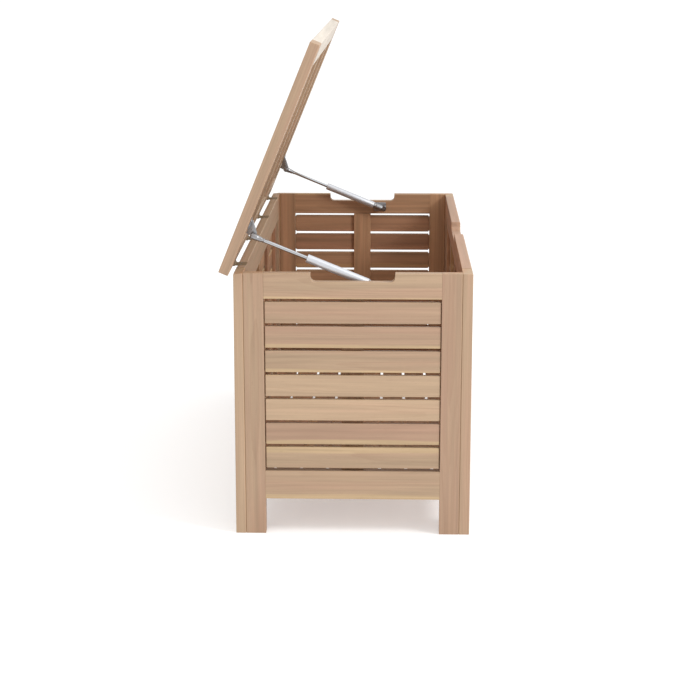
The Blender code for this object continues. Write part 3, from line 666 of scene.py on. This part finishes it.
# ---------------------------------------------------------------- boards of the box
# Tone, rosiness, the sapwood's edge and its side, for the boards that are seen from nearest.
LOOKS = {
    "left_end_slat_7": (0.52, 0.42, 1.60, -1.0), "left_end_slat_6": (0.50, 0.62, 0.48, -1.0),
    "left_end_slat_5": (0.42, 0.22, 0.74, -1.0), "left_end_slat_4": (0.74, 0.00, 0.95, 1.0),
    "left_end_slat_3": (0.78, 0.00, 1.05, 1.0), "left_end_slat_2": (0.44, 0.72, 0.80, -1.0),
    "left_end_slat_1": (0.36, 0.10, 0.62, 1.0), "left_end_top_rail": (0.62, 0.30, 0.92, -1.0),
    "left_end_bottom_rail": (0.50, 0.22, 0.75, -1.0), "left_end_front_leg": (0.46, 0.70, 1.5, 1.0),
    "left_end_back_leg": (0.52, 0.50, 1.2, 1.0), "front_left_leg": (0.58, 0.35, 0.9, 1.0),
    "back_left_leg": (0.60, 0.05, 0.7, 1.0),
}


def box_board(name, low, high, along, number, ease, **options):
    """One board of the box, with the timber that its name asks for."""
    seed = sum(ord(c) * (i + 3) for i, c in enumerate(name)) * 31 + number
    return board(low, high, along, seed, ease, look=LOOKS.get(name), **options)


def wood_piece(name, boards, body="box", replaces=None):
    settings = bpy.context.scene.storage_box_wood
    return piece(name + "_timber", combined(boards), timber(settings), body, replaces or (name,))


def ease():
    """The radius of the boards' edges, as the user has it."""
    return bpy.context.scene.storage_box_wood.ease


def seed(number):
    """A board's own number, moved on by the user's timber seed."""
    return bpy.context.scene.storage_box_wood.seed * 1000 + number


class STORAGEBOX_OT_legs(bpy.types.Operator):
    """Builds the legs, with the back panel's rounded top edge"""
    bl_idname = "storage_box.legs"
    bl_label = "Legs"

    def execute(self, context):
        e = ease()
        joined = {"left": (0, 3), "right": (1, 2), "front": (0, 1), "back": (2, 3)}
        for name, inward in PANELS.items():
            for word in leg_words(name):
                node = f"{name}_{word}_leg"
                low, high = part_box(node)
                corners = [JOINED_EASE if k in joined[word] else e for k in range(4)]
                made = box_board(node, low, high, GRAIN_Z, seed(1), e, corners=corners, tight=JOINED_EASE,
                                 inner=(1 - run(name), inward))
                if name in LONG_PANELS:
                    round_top(made, low, high, BACK_ROUND if name == "back" else FRONT_ROUND, -inward)
                wood_piece(node, [made])
        return {"FINISHED"}


def run(name):
    """The axis that a panel's rails and slats run along."""
    return GRAIN_X if name in LONG_PANELS else GRAIN_Y


def leg_words(name):
    """What a panel's two legs are called, in the order of the axis that it runs along."""
    return ("left", "right") if name in LONG_PANELS else ("front", "back")


def round_top(made, low, high, radius, side):
    """Rounds a leg's upper outer edge: points near it are drawn onto a quarter circle about the edge's own axis."""
    points = made["points"]
    outer = high.y if side > 0 else low.y
    depth = side * (points[:, 1] - (outer - side * radius))
    rise = points[:, 2] - (high.z - radius)
    near = (depth > 0) & (rise > 0)
    scale = np.maximum(depth, rise) / np.maximum(np.hypot(depth, rise), 1e-9)
    points[near, 1] = (outer - side * radius) + side * (depth * scale)[near]
    points[near, 2] = (high.z - radius) + (rise * scale)[near]


def inner_faces(name):
    """Where a panel's rails and slats start and end between its legs, along the panel."""
    first, last = leg_words(name)
    along = run(name)
    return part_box(f"{name}_{first}_leg")[1][along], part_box(f"{name}_{last}_leg")[0][along]


class STORAGEBOX_OT_rails(bpy.types.Operator):
    """Builds the rails between the legs, with their hand cut-outs and hinge recesses"""
    bl_idname = "storage_box.rails"
    bl_label = "Rails"

    def execute(self, context):
        e = ease()
        for name, inward in PANELS.items():
            along = run(name)
            start, finish = inner_faces(name)
            for word in ("top", "bottom"):
                node = f"{name}_{word}_rail"
                low, high = (Vector(c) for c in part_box(node))
                low[along], high[along] = start + 0.0001, finish - 0.0001
                options = {"inner": (1 - along, inward)}
                if node == "back_top_rail":
                    top = slot_line(low.x, high.x, high.z, HINGES, HINGE_LENGTH + 0.001, 0.0021)
                    options = {"top": top, "corners": (BACK_ROUND, e, e, e)}
                elif word == "top":
                    middle = 0.0 if along == GRAIN_X else SHIFT_Y
                    options["top"] = cut_line(low[along], high[along], high.z, middle)
                if node == "front_top_rail":
                    options["corners"] = (e, FRONT_ROUND, e, e)
                wood_piece(node, [box_board(node, low, high, along, seed(2), e, tight=0.0003, **options)])
        return {"FINISHED"}


def slat_spans(name):
    """Lowest and highest point of each slat in a panel, from the bottom."""
    floor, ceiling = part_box(f"{name}_bottom_rail")[1].z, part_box(f"{name}_top_rail")[0].z
    high = (ceiling - floor - (SLATS + 1) * SLAT_GAP) / SLATS
    bottoms = [floor + SLAT_GAP + i * (high + SLAT_GAP) for i in range(SLATS)]
    return [(z, z + high) for z in bottoms]


def panel_slat(name, number, span, along, start, finish, face, inward):
    """A slat behind a panel's face, and the tongue that goes through it into both legs: face is the legs' outer
    face, and inward is which way the box lies from it."""
    a, b = face + inward * SLAT_SET_BACK, face + inward * (SLAT_SET_BACK + SLAT)
    low, high = [0.0, 0.0, span[0]], [0.0, 0.0, span[1]]
    low[along], high[along] = start + SHOULDER_GAP, finish - SHOULDER_GAP
    low[1 - along], high[1 - along] = min(a, b), max(a, b)
    made = box_board(name, low, high, along, seed(number * 13), min(ease(), 0.0012), inner=(1 - along, inward))
    a, b = face + inward * TONGUE[0], face + inward * TONGUE[1]
    low[along], high[along] = start + 0.0002, finish - 0.0002
    low[2], high[2] = span[0] + 0.0025, span[1] - 0.0025
    low[1 - along], high[1 - along] = min(a, b), max(a, b)
    return [made, box_board(name, low, high, along, seed(number * 13), 0.0004, inner=(0, 2))]


def upright(name, number, middle, along, face, inward, bottom, ceiling):
    """A batten on the inside of a panel's slats."""
    a, b = face + inward * (SLAT_SET_BACK + SLAT + 0.0001), face + inward * 0.022
    low, high = [0.0, 0.0, bottom + 0.0003], [0.0, 0.0, ceiling - 0.0003]
    low[along], high[along] = middle - BATTEN_WIDTH / 2, middle + BATTEN_WIDTH / 2
    low[1 - along], high[1 - along] = min(a, b), max(a, b)
    return box_board(name, low, high, GRAIN_Z, seed(number * 17), 0.001, inner=(0, 2))


class STORAGEBOX_OT_slats(bpy.types.Operator):
    """Builds every panel's slats and the battens behind them"""
    bl_idname = "storage_box.slats"
    bl_label = "Panel slats"

    def execute(self, context):
        for name, inward in PANELS.items():
            along = run(name)
            start, finish = inner_faces(name)
            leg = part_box(f"{name}_{leg_words(name)[0]}_leg")
            face = leg[0 if inward > 0 else 1][1 - along]
            places = SIDE_BATTENS if along == GRAIN_X else (SHIFT_Y,)
            floor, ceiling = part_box(f"{name}_bottom_rail")[1].z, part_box(f"{name}_top_rail")[0].z
            slats = [panel_slat(f"{name}_slat_{i}", i, span, along, start, finish, face, inward)
                     for i, span in enumerate(slat_spans(name), 1)]
            battens = [upright(f"{name}_batten", i, middle, along, face, inward, floor, ceiling)
                       for i, middle in enumerate(places, 1)]
            if name == "left_end":
                for i, made in enumerate(slats, 1):
                    wood_piece(f"{name}_slat_{i}", made)
                wood_piece(f"{name}_batten", battens)
            else:
                wood_piece(f"{name}_slats", sum(slats, []) + battens)
        return {"FINISHED"}


class STORAGEBOX_OT_floor_boards(bpy.types.Operator):
    """Builds the slatted floor and the bearers under it"""
    bl_idname = "storage_box.floor_boards"
    bl_label = "Floor"

    def execute(self, context):
        low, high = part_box("floor_slats")
        boards = []
        for i in range(FLOOR_SLATS):
            y = SHIFT_Y + (i - (FLOOR_SLATS - 1) / 2) * FLOOR_PITCH
            a = (low.x, y - FLOOR_SLAT_WIDTH / 2, high.z - FLOOR_SLAT)
            b = (high.x, y + FLOOR_SLAT_WIDTH / 2, high.z)
            boards.append(box_board("floor_slat", a, b, GRAIN_X, seed(i * 19), 0.0012, inner=(0, 2)))
        for i, x in enumerate(BEARERS):
            a = (x - BEARER_WIDTH / 2, low.y, low.z)
            b = (x + BEARER_WIDTH / 2, high.y, high.z - FLOOR_SLAT - 0.0001)
            boards.append(box_board("floor_bearer", a, b, GRAIN_Y, seed(i * 23), 0.0012, inner=(0, 2)))
        wood_piece("floor_slats", boards)
        return {"FINISHED"}


# ---------------------------------------------------------------- lid
def open_lid():
    """Turns what is drawn with the lid shut to where it stands at rest."""
    return Matrix.Translation(HINGE) @ Matrix.Rotation(-LID_OPEN, 4, "X") @ Matrix.Translation(-HINGE)


def lid_plan():
    """The shut lid's lowest and highest corners, from the hinge pin and the lid's own sizes."""
    top = Vector((LID_HALF_LENGTH, HINGE.y + LID_BEHIND, HINGE.z + LID_ABOVE + LID))
    return Vector((-LID_HALF_LENGTH, top.y - LID_DEPTH, HINGE.z + LID_ABOVE)), top


class STORAGEBOX_OT_lid(bpy.types.Operator):
    """Builds the lid's frame, slats and battens, shut, and turns them open"""
    bl_idname = "storage_box.lid"
    bl_label = "Lid"

    def execute(self, context):
        e, turn = ease(), open_lid()
        low, high = lid_plan()
        inner_x, front, back = high.x - LID_STILE, low.y + LID_RAIL, high.y - LID_RAIL
        looks = {"lid_left_stile": (0.56, 0.60, 1.25, -1.0), "lid_right_stile": (0.55, 0.3, 0.9, 1.0),
                 "lid_front_rail": (0.60, 0.0, 1.6, 1.0, 1.0), "lid_back_rail": (0.6, 0.1, 1.2, 1.0)}
        frames = {
            "lid_left_stile": ((low.x, low.y, low.z), (-inner_x, high.y, high.z), GRAIN_Y),
            "lid_right_stile": ((inner_x, low.y, low.z), (high.x, high.y, high.z), GRAIN_Y),
            "lid_front_rail": ((-inner_x + 0.0003, low.y, low.z), (inner_x - 0.0003, front, high.z), GRAIN_X),
            "lid_back_rail": ((-inner_x + 0.0003, back, low.z), (inner_x - 0.0003, high.y, high.z), GRAIN_X),
        }
        for number, (node, (a, b, along)) in enumerate(frames.items(), 41):
            made = moved(board(a, b, along, seed(number), e, look=looks[node]), turn)
            wood_piece(node, [made], "lid")

        width = (back - front - (SLATS + 1) * SLAT_GAP) / SLATS
        slat_top = high.z - 0.001
        boards = []
        for i in range(SLATS):
            y = front + SLAT_GAP + i * (width + SLAT_GAP)
            a = (-inner_x + SHOULDER_GAP, y, slat_top - SLAT)
            b = (inner_x - SHOULDER_GAP, y + width, slat_top)
            boards.append(board(a, b, GRAIN_X, seed(50 + i), 0.0012))
        for i, x in enumerate(LID_BATTENS):
            a = (x - LID_BATTEN_WIDTH / 2, front + 0.0003, low.z)
            b = (x + LID_BATTEN_WIDTH / 2, back - 0.0003, slat_top - SLAT - 0.0001)
            boards.append(board(a, b, GRAIN_Y, seed(60 + i), 0.001))
        wood_piece("lid_slats", [moved(made, turn) for made in boards], "lid")
        return {"FINISHED"}


# ---------------------------------------------------------------- hinges
class STORAGEBOX_OT_hinges(bpy.types.Operator):
    """Finishes the butt hinges and drives their countersunk screws"""
    bl_idname = "storage_box.hinges"
    bl_label = "Hinges"

    def execute(self, context):
        colours = context.scene.storage_box_metal
        steel = metal("browned_steel", colours.hinge, 0.60, metallic=0.3, smudges=0.7, dirt=0.7, specular=0.25)
        bright = metal("screw_steel", colours.fitting, 0.30, smudges=0.5, dirt=0.6)
        turn = open_lid()
        fixed, carried = [], []
        for number, x in enumerate(HINGES, 1):
            for node in (f"hinge_box_leaf_{number}", f"hinge_lid_leaf_{number}", f"hinge_pin_{number}"):
                dressed(node, steel)
            for i, dx in enumerate(HINGE_SCREWS):
                spot = (x + dx, HINGE.y - HINGE_SCREW_INSET, HINGE.z - 0.0003)
                fixed.append(outward(screw_head(spot, (0, 0, 1), turn=0.7 * number + i)))
                spot = (x + dx, HINGE.y - HINGE_SCREW_INSET, HINGE.z + 0.0003)
                carried.append(moved(outward(screw_head(spot, (0, 0, -1), turn=1.1 * number + i)), turn))
        piece("hinge_box_screws", combined(fixed), bright, "box", smooth=40)
        piece("hinge_lid_screws", combined(carried), bright, "lid", smooth=40)
        return {"FINISHED"}


# ---------------------------------------------------------------- gas struts
def strut_line(word):
    """A strut's lower pivot and the way it points."""
    pivot = Vector(JOINTS[f"{word}_strut_swing"]["pos_m"])
    return pivot, Vector(JOINTS[f"{word}_rod_slide"]["axis"]).normalized()


def rounded_profile(corners, radius=0.0005, steps=3):
    """A profile whose corners are rounded: each is replaced by points on a curve between its two sides."""
    corners = [np.array(c, float) for c in corners]
    out = [corners[0]]
    for before, here, after in zip(corners, corners[1:], corners[2:]):
        a, b = before - here, after - here
        la, lb = np.linalg.norm(a), np.linalg.norm(b)
        cut = min(radius, la * 0.45, lb * 0.45)
        p, q = here + a / la * cut, here + b / lb * cut
        t = np.linspace(0, 1, steps + 1)[:, None]
        out += list((1 - t) ** 2 * p + 2 * t * (1 - t) * here + t ** 2 * q)
    return np.array(out + [corners[-1]])


class STORAGEBOX_OT_struts(bpy.types.Operator):
    """Builds the gas struts: tubes, rods, guides and the ball sockets at both ends"""
    bl_idname = "storage_box.struts"
    bl_label = "Gas struts"

    def execute(self, context):
        colours = context.scene.storage_box_metal
        tilt = atan2(*reversed(strut_line("left")[1].yz))
        silver = metal("strut_silver", colours.tube, 0.30, metallic=0.55, smudges=0.25, dirt=0.1, tilt=tilt, bump=0.03)
        polished = metal("strut_chrome", colours.rod, 0.14, smudges=0.35, dirt=0.1, tilt=tilt, bump=0.02)
        plated = metal("socket_plating", colours.fitting, 0.30, smudges=0.6, dirt=0.4)
        black = metal("gland_black", colours.gland, 0.55, metallic=0.0, smudges=0.3, dirt=0.5)
        for word in ("left", "right"):
            end = -1 if word == "left" else 1
            pivot, way = strut_line(word)
            ball = pivot + way * STRUT_LENGTH
            tube = rounded_profile([(TUBE_START, 0.0), (TUBE_START, 0.0090), (TUBE_END, 0.0090),
                                    (TUBE_END, 0.0078), (TUBE_END - 0.001, 0.0078), (TUBE_END - 0.001, 0.0)],
                                   0.0008)
            piece(f"{word}_strut_barrel", outward(turned(tube, pivot, way, 64)), silver, f"{word}_cylinder",
                  (f"{word}_strut_tube",), 40)
            cup = rounded_profile([(-0.0088, 0.0), (-0.0088, 0.0052), (-0.0052, 0.0086), (0.0105, 0.0086),
                                   (0.0118, 0.0070), (0.0150, 0.0070), (0.0152, 0.0082),
                                   (TUBE_START - 0.0002, 0.0082), (TUBE_START - 0.0002, 0.0)], 0.0012, 4)
            clip = rounded_profile([(0.0, 0.0092), (0.0013, 0.0092), (0.0013, 0.0084), (0.0, 0.0084)], 0.0003)
            clip[:, 0] += 0.0025
            lower = [outward(turned(cup, pivot, way, 56)), outward(turned(clip, pivot, way, 56))]
            piece(f"{word}_lower_socket", combined(lower), plated, f"{word}_cylinder", (), 35)
            ring = rounded_profile([(TUBE_END - 0.0012, 0.0), (TUBE_END - 0.0012, 0.0076),
                                    (TUBE_END - 0.0003, 0.0072), (TUBE_END - 0.0003, 0.0046),
                                    (TUBE_END - 0.0006, 0.0)], 0.0003)
            piece(f"{word}_rod_guide", outward(turned(ring, pivot, way, 48)), black, f"{word}_cylinder",
                  (f"{word}_strut_gland",), 35)
            rod = rounded_profile([(TUBE_END - 0.060, 0.0), (TUBE_END - 0.060, 0.0040),
                                   (STRUT_LENGTH - 0.012, 0.0040), (STRUT_LENGTH - 0.012, 0.0)], 0.0004)
            piece(f"{word}_rod_polished", outward(turned(rod, pivot, way, 40)), polished, f"{word}_rod",
                  (f"{word}_strut_rod",), 40)
            socket = rounded_profile([(0.0068, 0.0), (0.0068, 0.0040), (0.0046, 0.0064), (-0.0085, 0.0064),
                                      (-0.0105, 0.0056), (-0.0190, 0.0052), (-0.0200, 0.0044), (-0.0200, 0.0)],
                                     0.0010, 4)
            nut = rounded_profile([(-0.0215, 0.0), (-0.0215, 0.0050), (-0.0245, 0.0050), (-0.0245, 0.0)], 0.0003)
            stub = rounded_profile([(0.0, 0.0), (0.0, 0.0030), (0.0082, 0.0030), (0.0082, 0.0)], 0.0003)
            upper = [outward(turned(socket, ball, way, 48)), outward(turned(nut, ball, way, 6)),
                     outward(turned(stub, ball, (-end, 0, 0), 24))]
            piece(f"{word}_upper_socket", combined(upper), plated, f"{word}_rod", (f"{word}_strut_rod_end",),
                  35)
        return {"FINISHED"}


class STORAGEBOX_OT_brackets(bpy.types.Operator):
    """Builds the struts' brackets with their studs and screws"""
    bl_idname = "storage_box.brackets"
    bl_label = "Strut brackets"

    def execute(self, context):
        colours = context.scene.storage_box_metal
        plated = metal("bracket_plating", colours.fitting, 0.28, smudges=0.6, dirt=0.5)
        turn = open_lid()
        for word in ("left", "right"):
            end = -1 if word == "left" else 1
            pivot, way = strut_line(word)
            low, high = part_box(f"{word}_box_bracket")
            wall = low.x if end < 0 else high.x
            inner = wall - end * PLATE
            y, z = pivot.y, pivot.z
            outline = rounded_outline((y, z), 0.017, 0.012, 0.005)
            parts = [outward(slab(outline, 0, min(wall, inner), max(wall, inner), 0.0006))]
            stud = rounded_profile([(0.0, 0.0), (0.0, 0.0062), (0.0108, 0.0058), (0.0112, 0.0040), (0.0160, 0.0040),
                                    (0.0160, 0.0)], 0.0006)
            parts.append(outward(turned(stud, (inner + end * 0.0002, y, z), (-end, 0, 0), 40)))
            for i, dy in enumerate(PLATE_SCREWS):
                parts.append(outward(screw_head((inner, y + dy, z), (-end, 0, 0), 0.0030, 0.0014, 0.5 + i)))
            piece(f"{word}_lower_bracket", combined(parts), plated, "box", (f"{word}_box_bracket",),
                  35)
            piece(f"{word}_upper_bracket", moved(lid_bracket(word, end, turn), turn), plated, "lid",
                  (f"{word}_lid_bracket",), 35)
        return {"FINISHED"}


def rounded_outline(centre, half_u, half_v, radius, steps=5):
    """A rounded rectangle, counter-clockwise, as four quarter circles."""
    points = []
    for k, (su, sv) in enumerate(((1, 1), (-1, 1), (-1, -1), (1, -1))):
        a = arc(k * pi / 2, pi / 2, steps)
        points.append(np.stack([centre[0] + su * (half_u - radius) + radius * np.cos(a),
                                centre[1] + sv * (half_v - radius) + radius * np.sin(a)], 1))
    return np.concatenate(points)


def lid_bracket(word, end, turn):
    """The angle on the shut lid: a foot under the stile, and a cheek whose round end stands by the ball socket."""
    pivot, way = strut_line(word)
    ball = turn.inverted() @ (pivot + way * STRUT_LENGTH)
    under = lid_plan()[0].z - 0.0003
    cheek_face = end * (abs(pivot.x) - 0.0055 - 0.0030)
    inner = cheek_face - end * PLATE
    outer = end * (abs(pivot.x) + 0.0115)
    middle = ((inner + outer) / 2, ball.y - 0.0235)
    foot = rounded_outline(middle, abs(outer - inner) / 2, 0.0115, 0.003)
    parts = [outward(slab(foot, 2, under - 0.0015, under, 0.0005))]
    swing = arc(-2.1, 3.3, 9)[:, None]
    round_end = np.hstack([ball.y + 0.006 * np.cos(swing), ball.z + 0.006 * np.sin(swing)])
    foot_side = [(ball.y - 0.0300, under - 0.0006), (ball.y - 0.0300, under - 0.004),
                 (ball.y - 0.009, ball.z - 0.004)]
    cheek = np.concatenate([foot_side, round_end, [(ball.y + 0.001, under - 0.0006)]])
    parts.append(outward(slab(cheek, 0, min(inner, cheek_face), max(inner, cheek_face), 0.0005)))
    for i, dy in enumerate(FOOT_SCREWS):
        spot = (end * (abs(pivot.x) + 0.003), ball.y + dy, under - 0.0015)
        parts.append(outward(screw_head(spot, (0, 0, -1), 0.0030, 0.0012, 0.4 + i)))
    boss = rounded_profile([(0.0, 0.0), (0.0, 0.0046), (0.0012, 0.0040), (0.0012, 0.0)], 0.0004)
    parts.append(outward(turned(boss, (inner + end * 0.0002, ball.y, ball.z), (-end, 0, 0), 32)))
    return combined(parts)


# ---------------------------------------------------------------- stage
class STORAGEBOX_OT_stage(bpy.types.Operator):
    """Lays the pale floor, hangs the soft lights and sets the camera"""
    bl_idname = "storage_box.stage"
    bl_label = "Stage"

    def execute(self, context):
        settings = context.scene.storage_box_stage
        self.floor(settings)
        self.light("top_light", (-0.9, -0.5, 3.4), (0.0, 0.0, 0.3), 3.2, 2.6, settings.top)
        self.light("key_light", (-1.5, -2.3, 2.3), (0.2, 0.0, 0.3), 0.9, 0.9, settings.key)
        world = bpy.data.worlds.new("studio_white")
        world.use_nodes = True
        world.node_tree.nodes["Background"].inputs["Color"].default_value = (1.0, 1.0, 1.0, 1.0)
        world.node_tree.nodes["Background"].inputs["Strength"].default_value = settings.sky
        context.scene.world = world
        context.scene.view_settings.view_transform = "Standard"
        lens = bpy.data.cameras.new("studio_camera")
        lens.lens = settings.lens
        lens.clip_start, lens.clip_end = 0.1, 400.0
        camera = bpy.data.objects.new("studio_camera", lens)
        x, y, z = CAMERA_PLACE
        camera.location = (x, y + SHIFT_Y, z)
        camera.rotation_mode = "QUATERNION"
        camera.rotation_quaternion = Vector(CAMERA_WAY).to_track_quat("-Z", "Y")
        context.scene.collection.objects.link(camera)
        context.scene.camera = camera
        return {"FINISHED"}

    def floor(self, settings):
        """A flat disc far wider than any view: a middle point and two circles of points round it."""
        sides = 96
        rim = arc(0.0, 2 * pi, sides)[:-1]
        ring = np.stack([np.cos(rim), np.sin(rim), np.zeros(sides)], 1)
        points = np.concatenate([[(0.0, 0.0, 0.0)], ring * 6.0, ring * 160.0])
        points[:, 2] = -0.0002
        j = np.arange(sides)
        k = (j + 1) % sides
        faces = np.stack([0 * j, 1 + j, 1 + k], 1).tolist()
        faces += np.stack([1 + j, 1 + sides + j, 1 + sides + k, 1 + k], 1).tolist()
        mesh = bpy.data.meshes.new("studio_floor")
        mesh.from_pydata(points.tolist(), [], faces)
        made, net, shader = new_material("studio_paper")
        where = net.node("ShaderNodeTexCoord").outputs["Object"]
        tooth = net.noise(where, 260.0, 3.0, 0.6)
        shade = net.mix(tooth, (*[c * 0.995 for c in settings.floor], 1.0), (*settings.floor, 1.0))
        net.feed(shader.inputs["Base Color"], shade)
        net.feed(shader.inputs["Roughness"], net.step(tooth, 0.3, 0.7, 0.86, 0.94))
        shader.inputs["Emission Color"].default_value = (1.0, 1.0, 1.0, 1.0)
        shader.inputs["Emission Strength"].default_value = settings.glow
        shader.inputs["Specular IOR Level"].default_value = 0.1
        mesh.materials.append(made)
        floor = bpy.data.objects.new("studio_floor", mesh)
        bpy.context.scene.collection.objects.link(floor)

    def light(self, name, place, aim, wide, deep, power):
        """A soft box of the given size that looks at aim."""
        lamp = bpy.data.lights.new(name, "AREA")
        lamp.shape = "RECTANGLE"
        lamp.size, lamp.size_y, lamp.energy = wide, deep, power
        made = bpy.data.objects.new(name, lamp)
        made.location = place
        made.rotation_mode = "QUATERNION"
        made.rotation_quaternion = (Vector(aim) - Vector(place)).to_track_quat("-Z", "Y")
        bpy.context.scene.collection.objects.link(made)


# ---------------------------------------------------------------- panel and registration
BUILD_ORDER = ("legs", "rails", "slats", "floor_boards", "lid", "hinges", "struts", "brackets", "stage")


class STORAGEBOX_PT_panel(bpy.types.Panel):
    """Settings and build steps of the storage box"""
    bl_label = "Storage box"
    bl_idname = "STORAGEBOX_PT_panel"
    bl_space_type = "VIEW_3D"
    bl_region_type = "UI"
    bl_category = "Storage box"

    def draw(self, context):
        for step in BUILD_ORDER:
            self.layout.operator(f"storage_box.{step}")
        for part in ("wood", "metal", "stage"):
            settings = getattr(context.scene, f"storage_box_{part}")
            box = self.layout.box()
            for name in settings.bl_rna.properties.keys():
                if name not in ("rna_type", "name"):
                    box.prop(settings, name)


CLASSES = (StorageBoxWood, StorageBoxMetal, StorageBoxStage, STORAGEBOX_OT_legs, STORAGEBOX_OT_rails,
           STORAGEBOX_OT_slats, STORAGEBOX_OT_floor_boards, STORAGEBOX_OT_lid, STORAGEBOX_OT_hinges,
           STORAGEBOX_OT_struts, STORAGEBOX_OT_brackets, STORAGEBOX_OT_stage, STORAGEBOX_PT_panel)


def register():
    for kind in CLASSES:
        bpy.utils.register_class(kind)
    bpy.types.Scene.storage_box_wood = PointerProperty(type=StorageBoxWood)
    bpy.types.Scene.storage_box_metal = PointerProperty(type=StorageBoxMetal)
    bpy.types.Scene.storage_box_stage = PointerProperty(type=StorageBoxStage)


def unregister():
    del bpy.types.Scene.storage_box_stage
    del bpy.types.Scene.storage_box_metal
    del bpy.types.Scene.storage_box_wood
    for kind in reversed(CLASSES):
        bpy.utils.unregister_class(kind)


def main():
    """Builds everything."""
    register()
    for step in BUILD_ORDER:
        getattr(bpy.ops.storage_box, step)()


if __name__ == "__main__":
    main()
